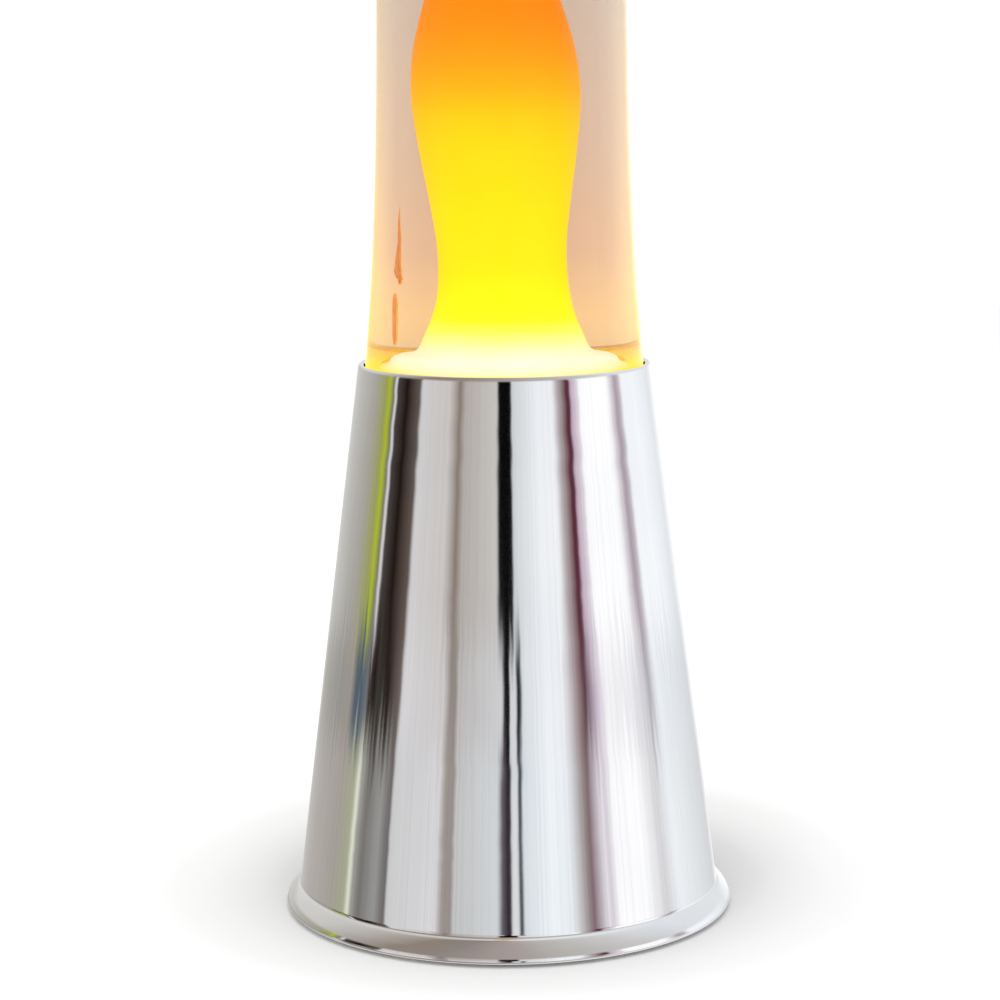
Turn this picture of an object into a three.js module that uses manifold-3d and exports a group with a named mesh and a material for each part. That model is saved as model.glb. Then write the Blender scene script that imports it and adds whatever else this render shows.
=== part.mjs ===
// Lava lamp: a chromed cone base with a reflector bulb in it, a glass bottle of wax and liquid that stands
// in the mouth of the base, and a chromed cap over the neck of the bottle.
// Millimetres, +Z up. The origin is on the floor in the middle of the base, and the front faces -Y.

import * as THREE from 'three';
import { mergeVertices } from 'three/addons/utils/BufferGeometryUtils.js';
import Module from 'manifold-3d';

const wasm = await Module();
wasm.setup();

// ---------------------------------------------------------------- driving dimensions

const GAP = 0.3; // clearance between pieces that rest on or hold each other
const WELD = 1e-4; // corners closer than this are one corner
const SIDES = 32; // sides of the large turned pieces
const SMALL_SIDES = 20; // sides of the turned pieces inside the base
const TINY_SIDES = 10; // sides of screws, feet and wires

const FLOOR_R = 52.3; // radius that the cone of the base would have at the floor
const SLOPE = 0.127; // radius that the cone loses per millimetre of height
const SHELL_WALL = 1.2;
const LIP_R = 55; // beaded lip at the foot of the cone
const LIP_Z = 0.8; // underside of the lip
const LIP_TOP_Z = 6.2;
const RIM_Z = 134.2; // top of the base
const RIM_INNER_R = 33.95;

const PLATE_Z = 3.2;
const SHEET = 1.2; // pressed steel sheet
const PLATE_R = 49.6;
const FOOT_RING_R = 43.5; // circle that the feet stand on
const FOOT_R = 6;
const LUG_RING_R = 44.5; // circle of the screws that hold the base plate
const SCREW_R = 1.25;
const SCREW_HOLE_R = SCREW_R + GAP;

const GLAND_Z = 22;
const GLAND_R = 4.9;
const GLAND_BORE_R = 2.6;

const HOLDER_Z = 16.5; // underside of the lampholder
const NIPPLE_R = 5;
const BRACKET_SCREW_X = 24.5;
const BRACKET_HALF_WIDTH = 7;
const TERMINAL_Y = 27;
const TERMINAL_X = 4; // half the distance between the two terminals
const LEAD_Z = 9.5;
const LEAD_R = 0.9;

const BULB_TIP_Z = 30;
const BULB_CAP_R = 6.9; // E14 screw cap
const BULB_TOP_Z = 97;

const SEAT_Z = 108.4; // underside of the shelf that the bottle stands on
const BOTTLE_Z = 112; // underside of the bottle
const BOTTLE_R = 33.5; // bottle below the rim of the base
const GLASS = 2.4;
const SHOULDER_Z = 345; // where the bottle starts to close towards its neck
const NECK_R = 13.2;
const BOTTLE_TOP_Z = 378;
const LIQUID_TOP_Z = 352;
const POOL_Z = 134.4; // top of the wax that lies on the floor of the bottle
const WAX_TOP_Z = 243;

const CAP_Z = 347;
const CAP_R = 30.3;
const CAP_TOP_Z = 395;
const CAP_WALL = 0.9;

// ---------------------------------------------------------------- materials

function material(color, roughness, metalness, opacity = 1) {
  return new THREE.MeshStandardMaterial({ color, roughness, metalness, opacity, transparent: opacity < 1 });
}

const chrome = material(0xd8dadc, 0.08, 1);
const zincSteel = material(0xb9bcc0, 0.35, 1);
const brass = material(0xc9a55a, 0.3, 1);
const nickel = material(0xc4c3bc, 0.3, 1);
const solder = material(0xa9abad, 0.4, 1);
const tungsten = material(0x6b6b6e, 0.5, 1);
const blackPlastic = material(0x1a1a1b, 0.5, 0);
const whitePlastic = material(0xe8e6df, 0.5, 0);
const phenolic = material(0x2a2320, 0.45, 0);
const rubber = material(0x222224, 0.85, 0);
const silicone = material(0xd9d6cf, 0.7, 0);
const copperLead = material(0x6e3a1e, 0.5, 0);
const blueLead = material(0x2f56a8, 0.5, 0);
const bulbGlass = material(0xdfe1e2, 0.25, 0.4);
const blackGlass = material(0x161619, 0.15, 0);
const clearGlass = material(0xeef2f1, 0.03, 0, 0.35);
const tintedLiquid = material(0xffc9a4, 0.05, 0, 0.45);
const glowingWax = material(0xffb300, 0.45, 0);

// ---------------------------------------------------------------- geometry helpers

const ROUND = Math.PI * 2;
const vector = (x, y, z) => new THREE.Vector3(x, y, z);

// Six times the volume enclosed, negative where the faces point inwards.
function signedVolume(position, index) {
  const [a, b, c] = [vector(), vector(), vector()];
  let volume = 0;
  for (let i = 0; i < index.length; i += 3) {
    a.fromBufferAttribute(position, index[i]);
    b.fromBufferAttribute(position, index[i + 1]);
    c.fromBufferAttribute(position, index[i + 2]);
    volume += a.dot(b.cross(c));
  }
  return volume;
}

// Keeps positions only, welds shared corners, drops triangles without area and turns the faces outwards.
function closed(geometry) {
  const bare = geometry.clone();
  bare.deleteAttribute('normal');
  bare.deleteAttribute('uv');
  bare.clearGroups();
  const welded = mergeVertices(bare, WELD);
  const corners = welded.getIndex().array;
  const kept = [];
  for (let i = 0; i < corners.length; i += 3) {
    const [a, b, c] = [corners[i], corners[i + 1], corners[i + 2]];
    if (a !== b && b !== c && c !== a) kept.push(a, b, c);
  }
  if (signedVolume(welded.getAttribute('position'), kept) < 0) kept.reverse();
  welded.setIndex(kept);
  return welded;
}

// Turns an outline of [radius, height] points about Z. It starts and ends on the axis.
function turned(outline, sides = SIDES) {
  const points = outline.map(([radius, height]) => new THREE.Vector2(radius, height));
  return closed(new THREE.LatheGeometry(points, sides).rotateX(Math.PI / 2));
}

// Turns a closed outline that stays off the axis.
function ring(outline, sides = SIDES) {
  return turned([...outline, outline[0]], sides);
}

function rod(radius, low, high, sides = TINY_SIDES) {
  return turned([[0, low], [radius, low], [radius, high], [0, high]], sides);
}

function tube(inner, outer, low, high, sides = SMALL_SIDES) {
  return ring([[inner, low], [outer, low], [outer, high], [inner, high]], sides);
}

function block(x, y, z) {
  const box = new THREE.BoxGeometry(x[1] - x[0], y[1] - y[0], z[1] - z[0]);
  return closed(box.translate((x[0] + x[1]) / 2, (y[0] + y[1]) / 2, (z[0] + z[1]) / 2));
}

// Extrudes a shape drawn in XY from low to high.
function slab(shape, low, high) {
  const settings = { depth: high - low, bevelEnabled: false };
  return closed(new THREE.ExtrudeGeometry(shape, settings).translate(0, 0, low));
}

function polygon(points) {
  return new THREE.Shape(points.map(([x, y]) => new THREE.Vector2(x, y)));
}

// The corners of a regular polygon, as [x, y] points.
function circle(x, y, radius, sides = TINY_SIDES) {
  return Array.from({ length: sides }, (_, i) => {
    const angle = (i / sides) * ROUND;
    return [x + radius * Math.cos(angle), y + radius * Math.sin(angle)];
  });
}

// A round wire along a smooth curve through the points.
function wire(points, radius, steps, sides = 6) {
  const path = new THREE.CatmullRomCurve3(points.map((point) => vector(...point)));
  const section = polygon(circle(0, 0, radius, sides));
  return closed(new THREE.ExtrudeGeometry(section, { steps, extrudePath: path }));
}

// The closed outline of a wall: an open outline from the foot of the piece to its top on the axis, and the
// same outline moved inwards by the wall's thickness.
function walled(outline, wall) {
  const inner = outline.map(([radius, height], i) => {
    const before = outline[Math.max(i - 1, 0)];
    const after = outline[Math.min(i + 1, outline.length - 1)];
    const along = new THREE.Vector2(after[0] - before[0], after[1] - before[1]).normalize();
    if (radius === 0) return [0, height - wall];
    return [radius - along.y * wall, height + along.x * wall];
  });
  return [...outline, ...inner.reverse()];
}

function smooth(points, count) {
  const curve = new THREE.SplineCurve(points.map(([x, y]) => new THREE.Vector2(x, y)));
  return curve.getPoints(count).map((point) => [Math.max(point.x, 0), point.y]);
}

function solid(geometry) {
  const vertProperties = new Float32Array(geometry.getAttribute('position').array);
  const triVerts = new Uint32Array(geometry.getIndex().array);
  return new wasm.Manifold(new wasm.Mesh({ numProp: 3, vertProperties, triVerts }));
}

function cut(body, ...tools) {
  const left = tools.reduce((rest, tool) => rest.subtract(solid(tool)), solid(body));
  const mesh = left.getMesh();
  const geometry = new THREE.BufferGeometry();
  geometry.setAttribute('position', new THREE.BufferAttribute(mesh.vertProperties, 3));
  geometry.setIndex(new THREE.BufferAttribute(mesh.triVerts, 1));
  return geometry;
}

// ---------------------------------------------------------------- the object's tree

const lamp = new THREE.Group();
const base = new THREE.Group();
const bulb = new THREE.Group();
const bottle = new THREE.Group();
const cap = new THREE.Group();
lamp.add(base, bulb, bottle, cap);

function add(group, name, geometry, look) {
  const mesh = new THREE.Mesh(geometry, look);
  mesh.name = name;
  group.add(mesh);
  return mesh;
}

// Adds count copies round Z at a radius, each turned to face outwards, numbered from 1.
function addRound(group, name, geometry, look, count, radius, firstAngle) {
  for (let i = 0; i < count; i += 1) {
    const angle = firstAngle + (i / count) * ROUND;
    const mesh = add(group, `${name}_${i + 1}`, geometry, look);
    mesh.position.set(radius * Math.cos(angle), radius * Math.sin(angle), 0);
    mesh.rotation.z = angle;
  }
}

const coneRadius = (z) => FLOOR_R - SLOPE * z;
const shellInside = (z) => coneRadius(z) - SHELL_WALL;

// ---------------------------------------------------------------- base: shell, seat and gasket

const wallTilt = Math.atan(SLOPE);
const glandCentre = vector(0, coneRadius(GLAND_Z), GLAND_Z);

// Stands a piece that was made along Z on the back wall of the cone, square to it, Z pointing outwards.
function ontoBackWall(piece) {
  piece.rotation.x = wallTilt - Math.PI / 2;
  piece.position.copy(glandCentre);
}

function baseShell() {
  const lip = [
    [LIP_R - 2.4, LIP_Z],
    [LIP_R - 1, LIP_Z],
    [LIP_R - 0.25, LIP_Z + 0.7],
    [LIP_R, LIP_Z + 2.1],
    [LIP_R - 0.5, LIP_Z + 3.6],
    [LIP_R - 1.7, LIP_Z + 4.6],
  ];
  const rim = [
    [coneRadius(RIM_Z - 1.8), RIM_Z - 1.8],
    [coneRadius(RIM_Z) - 0.3, RIM_Z - 0.6],
    [coneRadius(RIM_Z) - 0.8, RIM_Z],
    [RIM_INNER_R + 0.15, RIM_Z - 0.4],
    [RIM_INNER_R, RIM_Z - 1.6],
    [RIM_INNER_R, RIM_Z - 2.8],
  ];
  const inside = [
    [shellInside(RIM_Z - 4.4), RIM_Z - 4.4],
    [shellInside(7), 7],
    [shellInside(7) + 0.7, 5.2],
    [LIP_R - 2.7, 3.8],
    [LIP_R - 2.1, 2.4],
  ];
  const shell = ring([...lip, [coneRadius(LIP_TOP_Z), LIP_TOP_Z], ...rim, ...inside]);
  const drill = new THREE.Mesh(rod(GLAND_R + 0.5, -8, 8, SMALL_SIDES));
  ontoBackWall(drill);
  drill.updateMatrix();
  return cut(shell, drill.geometry.applyMatrix4(drill.matrix));
}

// A pressed ring wedged in the cone from below: the bottle stands on its shelf and the light comes through.
function bottleSeat() {
  const flange = (z) => shellInside(z) - GAP;
  const topZ = 120;
  const shelf = SEAT_Z + 1;
  return ring([
    [flange(topZ), topZ],
    [flange(SEAT_Z + 0.8), SEAT_Z + 0.8],
    [flange(SEAT_Z) - 0.8, SEAT_Z],
    [23.4, SEAT_Z],
    [22.8, SEAT_Z - 0.5],
    [22.8, SEAT_Z - 3.4],
    [21.8, SEAT_Z - 3.4],
    [21.8, shelf - 0.4],
    [22.2, shelf],
    [flange(shelf) - 1.2, shelf],
    [flange(topZ) - 1, topZ],
  ]);
}

function seatGasket() {
  const low = SEAT_Z + 1 + GAP;
  const high = BOTTLE_Z - GAP;
  return ring([[24.8, low], [31.8, low], [31.8, high - 0.4], [31.4, high], [24.8, high]]);
}

add(base, 'base_shell', baseShell(), chrome);
add(base, 'bottle_seat', bottleSeat(), zincSteel);
add(base, 'seat_gasket', seatGasket(), silicone);

// ---------------------------------------------------------------- base: plate, lugs, screws and feet

const VENTS = 8;

// A slot that points outwards, with pointed ends.
function ventSlot(angle) {
  const [inner, outer, half] = [30, 38, 1.6];
  const along = [[inner, 0], [inner + half, half], [outer - half, half], [outer, 0], [outer - half, -half],
    [inner + half, -half]];
  const [cos, sin] = [Math.cos(angle), Math.sin(angle)];
  return polygon(along.map(([out, side]) => [out * cos - side * sin, out * sin + side * cos]));
}

function basePlate() {
  const disc = polygon(circle(0, 0, PLATE_R, SIDES));
  const hole = (radius, angle, size) => {
    const outline = circle(radius * Math.cos(angle), radius * Math.sin(angle), size);
    return polygon(outline);
  };
  for (let i = 0; i < 4; i += 1) {
    const angle = (i / 4) * ROUND;
    disc.holes.push(hole(LUG_RING_R, angle, SCREW_HOLE_R), hole(FOOT_RING_R, angle + ROUND / 8, 2.3));
  }
  for (let i = 0; i < VENTS; i += 1) disc.holes.push(ventSlot(((i + 0.5) / VENTS) * ROUND));
  disc.holes.push(hole(BRACKET_SCREW_X, 0, SCREW_HOLE_R), hole(BRACKET_SCREW_X, ROUND / 2, SCREW_HOLE_R));
  return slab(disc, PLATE_Z, PLATE_Z + SHEET);
}

// An angle bracket welded inside the cone; X points outwards and the origin is over the screw.
function shellLug() {
  const foot = PLATE_Z + SHEET + GAP;
  const [inner, wall, outer] = [-3.5, 3, 4.1];
  const angle = polygon([
    [inner, foot],
    [outer, foot],
    [outer, foot + 8.3],
    [wall, foot + 8.3],
    [wall, foot + 1.5],
    [inner, foot + 1.5],
  ]);
  const bent = slab(angle, -4.5, 4.5).rotateX(Math.PI / 2);
  return cut(bent, rod(SCREW_HOLE_R, 0, 20));
}

function panScrew(tip) {
  const head = PLATE_Z - GAP;
  return turned(
    [[0, head - 1.7], [1.9, head - 1.6], [2.7, head - 0.8], [2.8, head], [SCREW_R, head], [SCREW_R, tip - 1],
      [0, tip]],
    TINY_SIDES,
  );
}

// A pad pushed through the plate, with a barbed stem that holds it.
function rubberFoot() {
  const under = PLATE_Z - GAP;
  const over = PLATE_Z + SHEET + GAP;
  return turned(
    [[0, 0], [FOOT_R - 0.5, 0], [FOOT_R, 0.6], [FOOT_R - 0.4, under], [2, under], [2, over],
      [2.9, over + 0.2], [1.3, over + 2.8], [0, over + 3]],
    TINY_SIDES,
  );
}

add(base, 'base_plate', basePlate(), zincSteel);
addRound(base, 'shell_lug', shellLug(), zincSteel, 4, LUG_RING_R, 0);
addRound(base, 'plate_screw', panScrew(11), zincSteel, 4, LUG_RING_R, 0);
addRound(base, 'foot', rubberFoot(), rubber, 4, FOOT_RING_R, Math.PI / 4);

// ---------------------------------------------------------------- base: cord gland and terminal block

function cordGland() {
  const head = GAP;
  return ring(
    [[GLAND_BORE_R, head + 3.4], [GLAND_BORE_R, -11], [GLAND_R, -11], [GLAND_R, head], [7, head],
      [7, head + 1.6], [5.4, head + 3], [3.4, head + 4]],
    SMALL_SIDES,
  );
}

function hexNut(acrossCorners, bore, low, high) {
  const hex = polygon(circle(0, 0, acrossCorners / 2, 6));
  hex.holes.push(polygon(circle(0, 0, bore, SMALL_SIDES)));
  return slab(hex, low, high);
}

function terminalBlock() {
  const low = PLATE_Z + SHEET + GAP;
  const body = block([-9, 9], [TERMINAL_Y - 6.5, TERMINAL_Y + 6.5], [low, low + 11]);
  const notch = block([-1, 1], [TERMINAL_Y - 7, TERMINAL_Y + 7], [low + 6.5, low + 12]);
  const holes = [-TERMINAL_X, TERMINAL_X].flatMap((x) => [
    rod(1.5, -8, 8).rotateX(Math.PI / 2).translate(x, TERMINAL_Y, LEAD_Z),
    rod(2, LEAD_Z, low + 12).translate(x, TERMINAL_Y, 0),
  ]);
  return cut(body, notch, ...holes);
}

const gland = add(base, 'cord_gland', cordGland(), blackPlastic);
const glandNut = add(base, 'gland_nut', hexNut(15, GLAND_R + GAP, -5.4, -2.2), blackPlastic);
[gland, glandNut].forEach(ontoBackWall);

add(base, 'terminal_block', terminalBlock(), whitePlastic);
[-TERMINAL_X, TERMINAL_X].forEach((x, i) => {
  const screw = add(base, `terminal_screw_${i + 1}`, rod(1.6, LEAD_Z + 1.3, LEAD_Z + 5), brass);
  screw.position.set(x, TERMINAL_Y, 0);
});

// ---------------------------------------------------------------- base: lampholder on its bracket

const WEB_Z = HOLDER_Z - GAP; // top of the bracket's web

function lampholderBracket() {
  const low = PLATE_Z + SHEET + GAP;
  const [leg, toe] = [20, 29];
  const half = [
    [leg, WEB_Z],
    [leg, low + SHEET],
    [toe, low + SHEET],
    [toe, low],
    [leg - SHEET, low],
    [leg - SHEET, WEB_Z - SHEET],
  ];
  const mirrored = half.map(([x, z]) => [-x, z]).reverse();
  const strap = slab(polygon([...half, ...mirrored]), -BRACKET_HALF_WIDTH, BRACKET_HALF_WIDTH);
  const holes = [-BRACKET_SCREW_X, BRACKET_SCREW_X].map((x) => rod(SCREW_HOLE_R, 0, 10).translate(x, 0, 0));
  return cut(strap.rotateX(Math.PI / 2), rod(NIPPLE_R + GAP, 10, 20, SMALL_SIDES), ...holes);
}

// A phenolic body with a wiring chamber over the nipple, and a deep socket for the thread shell.
function lampholderBody() {
  return ring(
    [[NIPPLE_R + GAP, HOLDER_Z], [12.4, HOLDER_Z], [13.2, HOLDER_Z + 0.9], [13.2, 29.5], [14.2, 30.5],
      [14.2, 52.8], [13.4, 54], [9.4, 54], [8.8, 53.2], [8.8, 27], [1.6, 27], [1.6, 25], [7.5, 25],
      [7.5, 21.5], [NIPPLE_R + GAP, 21.5]],
    SMALL_SIDES,
  );
}

function threadShell() {
  return ring(
    [[7.3, 30.2], [8.5, 30.2], [8.5, 31], [8.2, 31.3], [8.2, 49.6], [8.5, 50], [8.5, 50.6], [7.3, 50.6]],
    SMALL_SIDES,
  );
}

function centreContact() {
  return turned(
    [[0, 23.3], [1.3, 23.3], [1.3, 27.3], [4.6, 27.3], [4.6, 28], [2.4, 28.4], [1.6, 29.5],
      [0, BULB_TIP_Z - GAP]],
    SMALL_SIDES,
  );
}

// From a terminal along the plate, up the nipple and out to one side of the wiring chamber.
function lead(side) {
  const route = [
    [side * TERMINAL_X, TERMINAL_Y - 3, LEAD_Z],
    [side * TERMINAL_X, TERMINAL_Y - 8, LEAD_Z],
    [side * 2.4, 11, 8],
    [side * 1.5, 4.2, 7.7],
    [side * 1.35, 0.8, 9.9],
    [side * 1.3, 0, 13],
    [side * 1.4, 0, 18.5],
    [side * 2.2, 0, 21.6],
    [side * 4.2, 0, 23.3],
  ];
  return wire(route, LEAD_R, 22);
}

add(base, 'lampholder_bracket', lampholderBracket(), zincSteel);
[-BRACKET_SCREW_X, BRACKET_SCREW_X].forEach((x, i) => {
  add(base, `bracket_screw_${i + 1}`, panScrew(9), zincSteel).position.x = x;
});
add(base, 'lampholder_nipple', tube(3.6, NIPPLE_R, 10.5, 21), zincSteel);
add(base, 'nipple_nut', hexNut(15, NIPPLE_R + GAP, 11.4, WEB_Z - SHEET - GAP), zincSteel);
add(base, 'lampholder_body', lampholderBody(), phenolic);
add(base, 'lampholder_thread_shell', threadShell(), brass);
add(base, 'lampholder_centre_contact', centreContact(), brass);
add(base, 'lead_live', lead(1), copperLead);
add(base, 'lead_neutral', lead(-1), blueLead);

// ---------------------------------------------------------------- bulb: a 39 mm reflector bulb

const CAP_SKIRT_Z = BULB_TIP_Z + 22; // upper edge of the bulb's screw cap

function bulbEnvelope() {
  const neck = BULB_CAP_R - 0.7;
  const reflector = smooth(
    [[neck, CAP_SKIRT_Z + 0.5], [8.2, 58], [12.2, 66], [16.2, 74], [18.7, 81], [19.5, 87], [18.7, 91],
      [15.6, 94.4], [9, 96.5], [0, BULB_TOP_Z]],
    10,
  );
  const outline = [[neck, CAP_SKIRT_Z - 8], ...reflector];
  return ring(walled(outline, 0.9), SMALL_SIDES);
}

function bulbScrewCap() {
  const low = BULB_TIP_Z + 4.2;
  const inner = BULB_CAP_R - 0.35;
  return ring(
    [[inner, low], [BULB_CAP_R, low + 0.4], [BULB_CAP_R, CAP_SKIRT_Z - 1.5],
      [BULB_CAP_R + 0.35, CAP_SKIRT_Z - 0.8], [BULB_CAP_R + 0.35, CAP_SKIRT_Z], [inner, CAP_SKIRT_Z]],
    SMALL_SIDES,
  );
}

function bulbCapInsulator() {
  const low = BULB_TIP_Z + 1.6;
  return ring([[2, low], [3.2, low], [6.2, low + 2.8], [6.2, low + 4.8], [2, low + 4.8]], SMALL_SIDES);
}

function bulbTipContact() {
  const top = BULB_TIP_Z + 1.3;
  return turned(
    [[0, BULB_TIP_Z], [1.7, BULB_TIP_Z + 0.1], [2.6, BULB_TIP_Z + 0.7], [2.6, top], [1.7, top],
      [1.7, top + 2.4], [0, top + 2.4]],
    SMALL_SIDES,
  );
}

function bulbStem() {
  return turned([[0, 46], [4.8, 46], [3, 49], [2.2, 61], [1.2, 63.6], [0, 64]], SMALL_SIDES);
}

function bulbFilament() {
  const half = [[-0.9, 0, 64.5], [-3.8, 0, 68], [-5.4, 0, 74], [-4.2, 0, 78.6]];
  const other = half.map(([x, y, z]) => [-x, y, z]).reverse();
  return wire([...half, [0, 0, 79.6], ...other], 0.35, 18);
}

add(bulb, 'bulb_envelope', bulbEnvelope(), bulbGlass);
add(bulb, 'bulb_screw_cap', bulbScrewCap(), nickel);
add(bulb, 'bulb_cap_insulator', bulbCapInsulator(), blackGlass);
add(bulb, 'bulb_tip_contact', bulbTipContact(), solder);
add(bulb, 'bulb_stem', bulbStem(), clearGlass);
add(bulb, 'bulb_filament', bulbFilament(), tungsten);

// ---------------------------------------------------------------- bottle

const BODY_R = 29.42; // radius that the bottle's side settles to above its flared foot
const FLARE = 4.1; // how much wider the bottle is at the rim of the base
const FLARE_FALL = 37; // height in which most of the flare is gone
const SLIM = 1.1; // radius lost in the upper part, most of it near the shoulder

// Outside radius of the bottle's side between the rim of the base and the shoulder.
function bottleRadius(z) {
  const rise = Math.max(z - RIM_Z, 0);
  const flare = FLARE * Math.exp(-((rise / FLARE_FALL) ** 1.1));
  return BODY_R + flare - SLIM * (rise / (SHOULDER_Z - RIM_Z)) ** 3;
}

// The side as an outline from the rim up, close together where it curves most, moved inwards by inset.
function bottleSide(inset, count = 8) {
  return Array.from({ length: count + 1 }, (_, i) => {
    const z = RIM_Z + (SHOULDER_Z - RIM_Z) * (i / count) ** 1.5;
    return [bottleRadius(z) - inset, z];
  });
}

function bottleGlass() {
  const foot = [[0, 114], [24.5, BOTTLE_Z], [30.5, BOTTLE_Z], [32.6, 113.1], [BOTTLE_R, 116]];
  const shoulder = [[27.3, 350], [24.8, 354.6], [18.8, 359.2], [14.4, 363], [NECK_R, 366.5]];
  const finish = [[NECK_R, 370], [13.9, 370.6], [13.9, 374.6], [12.4, BOTTLE_TOP_Z]];
  const mouth = [[8.8, BOTTLE_TOP_Z], [8.6, 364]];
  const innerShoulder = [[12, 361], [18.6, 356.4], [22.8, 352.8], [25.2, 348.8]];
  const floor = [[BOTTLE_R - GLASS, 119], [30.2, 116.8], [28, 115.8], [23, 115.6], [0, 117]];
  return turned([
    ...foot,
    ...bottleSide(0),
    ...shoulder,
    ...finish,
    ...mouth,
    ...innerShoulder,
    ...bottleSide(GLASS).reverse(),
    ...floor,
  ]);
}

// The column leans to the left as it rises from the pool.
const WAX_LEAN = -2.2;
const LEAN_START_Z = 150;
const WAX_SIDES = 20;

function lean(z) {
  return WAX_LEAN * Math.max(0, (z - LEAN_START_Z) / (WAX_TOP_Z - LEAN_START_Z));
}

// Wax: a pool on the floor of the bottle and a column that has risen from it. grow makes a tool to cut with.
function waxSolid(grow = 0) {
  const wall = BOTTLE_R - GLASS - GAP + (grow > 0 ? 1 : 0);
  const floor = [[0, 117.4], [23, 116], [27.9, 116.1], [30, 117.1], [wall, 119.3]];
  const column = smooth(
    [[15.4, 137], [12.2, 147], [11.5, 160], [13.4, 182], [14.9, 199], [13.4, 213], [9.9, 227], [5, 238.5]],
    11,
  );
  const outline = [
    ...floor,
    [wall, POOL_Z + grow],
    [19.5, POOL_Z + 0.6 + grow],
    ...column.map(([radius, z]) => [radius + grow, z]),
    [0, WAX_TOP_Z + grow],
  ];
  const wax = turned(outline, WAX_SIDES);
  const position = wax.getAttribute('position');
  for (let i = 0; i < position.count; i += 1) position.setX(i, position.getX(i) + lean(position.getZ(i)));
  return wax;
}

function waxColumn() {
  const coilGroove = ring([[24, 114], [28, 114], [28, 118.2], [27, 119.8], [25, 119.8], [24, 118.2]]);
  return cut(waxSolid(), coilGroove);
}

const BLOBS = {
  wax_blob_lower: { centre: [-2, 0, 262], radius: 8 },
  wax_blob_upper: { centre: [3, 1, 302], radius: 11 },
};

function blobSolid({ centre, radius }, grow = 0) {
  return closed(new THREE.SphereGeometry(radius + grow, 14, 8).rotateX(Math.PI / 2).translate(...centre));
}

// Everything inside the glass that isn't wax. A thin channel joins the hollows round the blobs to the
// surface.
function liquidSolid() {
  const inside = [[24.9, 348.6], [23.6, 351], [22.8, LIQUID_TOP_Z]];
  const low = POOL_Z - 3;
  const fill = turned([
    [0, low],
    [BOTTLE_R - GLASS - GAP, low],
    ...bottleSide(GLASS + GAP),
    ...inside,
    [0, LIQUID_TOP_Z],
  ]);
  const hollows = Object.values(BLOBS).map((blob) => blobSolid(blob, GAP + 0.1));
  const channel = rod(0.6, BLOBS.wax_blob_lower.centre[2], LIQUID_TOP_Z + 1);
  return cut(fill, waxSolid(GAP + 0.1), ...hollows, channel);
}

function wireCoil() {
  return ring(circle(26, 117.7, 1.5, 6), WAX_SIDES);
}

function crownCap() {
  const top = BOTTLE_TOP_Z + 1.6;
  return turned(
    [[0, top], [12.6, top], [14.4, top - 1.2], [15.1, top - 3.6], [16, top - 6.6], [15.5, top - 6.6],
      [14.6, top - 3.6], [13.9, top - 1.6], [12.4, top - 0.6], [0, top - 0.6]],
    SMALL_SIDES,
  );
}

add(bottle, 'bottle', bottleGlass(), clearGlass);
add(bottle, 'wax_column', waxColumn(), glowingWax);
Object.entries(BLOBS).forEach(([name, blob]) => add(bottle, name, blobSolid(blob), glowingWax));
add(bottle, 'liquid', liquidSolid(), tintedLiquid);
add(bottle, 'wire_coil', wireCoil(), zincSteel);
add(bottle, 'crown_cap_liner', rod(11.8, BOTTLE_TOP_Z + GAP, BOTTLE_TOP_Z + 0.7, SMALL_SIDES), silicone);
add(bottle, 'crown_cap', crownCap(), zincSteel);

// ---------------------------------------------------------------- cap

function topCap() {
  const topR = 22.6;
  const edge = [[topR + 0.4, 390.4], [topR, 392.6], [topR - 1.2, 394], [topR - 3.2, 394.6]];
  return ring(walled([[CAP_R, CAP_Z], [CAP_R - 0.25, CAP_Z + 1.5], ...edge, [0, CAP_TOP_Z]], CAP_WALL));
}

// A moulded ring inside the cap that sits on the shoulder of the bottle.
function capCollar() {
  return ring(
    [[27.1, 356.8], [26.6, 361.4], [19.6, 361.4], [19.6, 359.6], [21.6, 358.4], [25.2, 355.4]],
  );
}

add(cap, 'top_cap', topCap(), chrome);
add(cap, 'cap_collar', capCollar(), blackPlastic);

export default lamp;
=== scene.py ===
"""Looks of a lava lamp: a chromed cone base, a glass bottle of glowing wax, and a chromed cap.

Outlines are drawn in millimetres as (radius, height) points and turned about Z. Places come from the CAD
boxes.
"""

import math

import bmesh
import bpy
from mathutils import Matrix, Vector


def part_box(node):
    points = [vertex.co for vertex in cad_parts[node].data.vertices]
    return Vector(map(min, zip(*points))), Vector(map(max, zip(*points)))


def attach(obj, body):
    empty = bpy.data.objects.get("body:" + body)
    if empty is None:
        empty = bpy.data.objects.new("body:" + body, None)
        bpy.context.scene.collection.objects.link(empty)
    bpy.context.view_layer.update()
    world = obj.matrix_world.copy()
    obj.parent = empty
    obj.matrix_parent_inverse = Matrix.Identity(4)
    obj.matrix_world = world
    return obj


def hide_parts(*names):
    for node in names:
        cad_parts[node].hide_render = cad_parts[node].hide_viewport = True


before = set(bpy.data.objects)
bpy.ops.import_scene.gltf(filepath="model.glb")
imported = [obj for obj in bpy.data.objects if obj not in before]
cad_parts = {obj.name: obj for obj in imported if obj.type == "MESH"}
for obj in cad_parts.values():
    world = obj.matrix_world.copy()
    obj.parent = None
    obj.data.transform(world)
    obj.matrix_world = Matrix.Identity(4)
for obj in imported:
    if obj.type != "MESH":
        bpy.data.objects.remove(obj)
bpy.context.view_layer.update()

MM = 0.001
TURN = math.tau
# sides of the turned pieces, from the largest pieces to small holes
FINE = 192
MEDIUM = 96
SMALL = 48
COARSE = 24
GAP = 0.3  # left between parts that stand on each other

scene = bpy.context.scene

# ---- driving dimensions, from the CAD boxes


def span(node):
    """Lowest and highest corners of a CAD node, in millimetres."""
    low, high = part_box(node)
    return low / MM, high / MM


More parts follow.
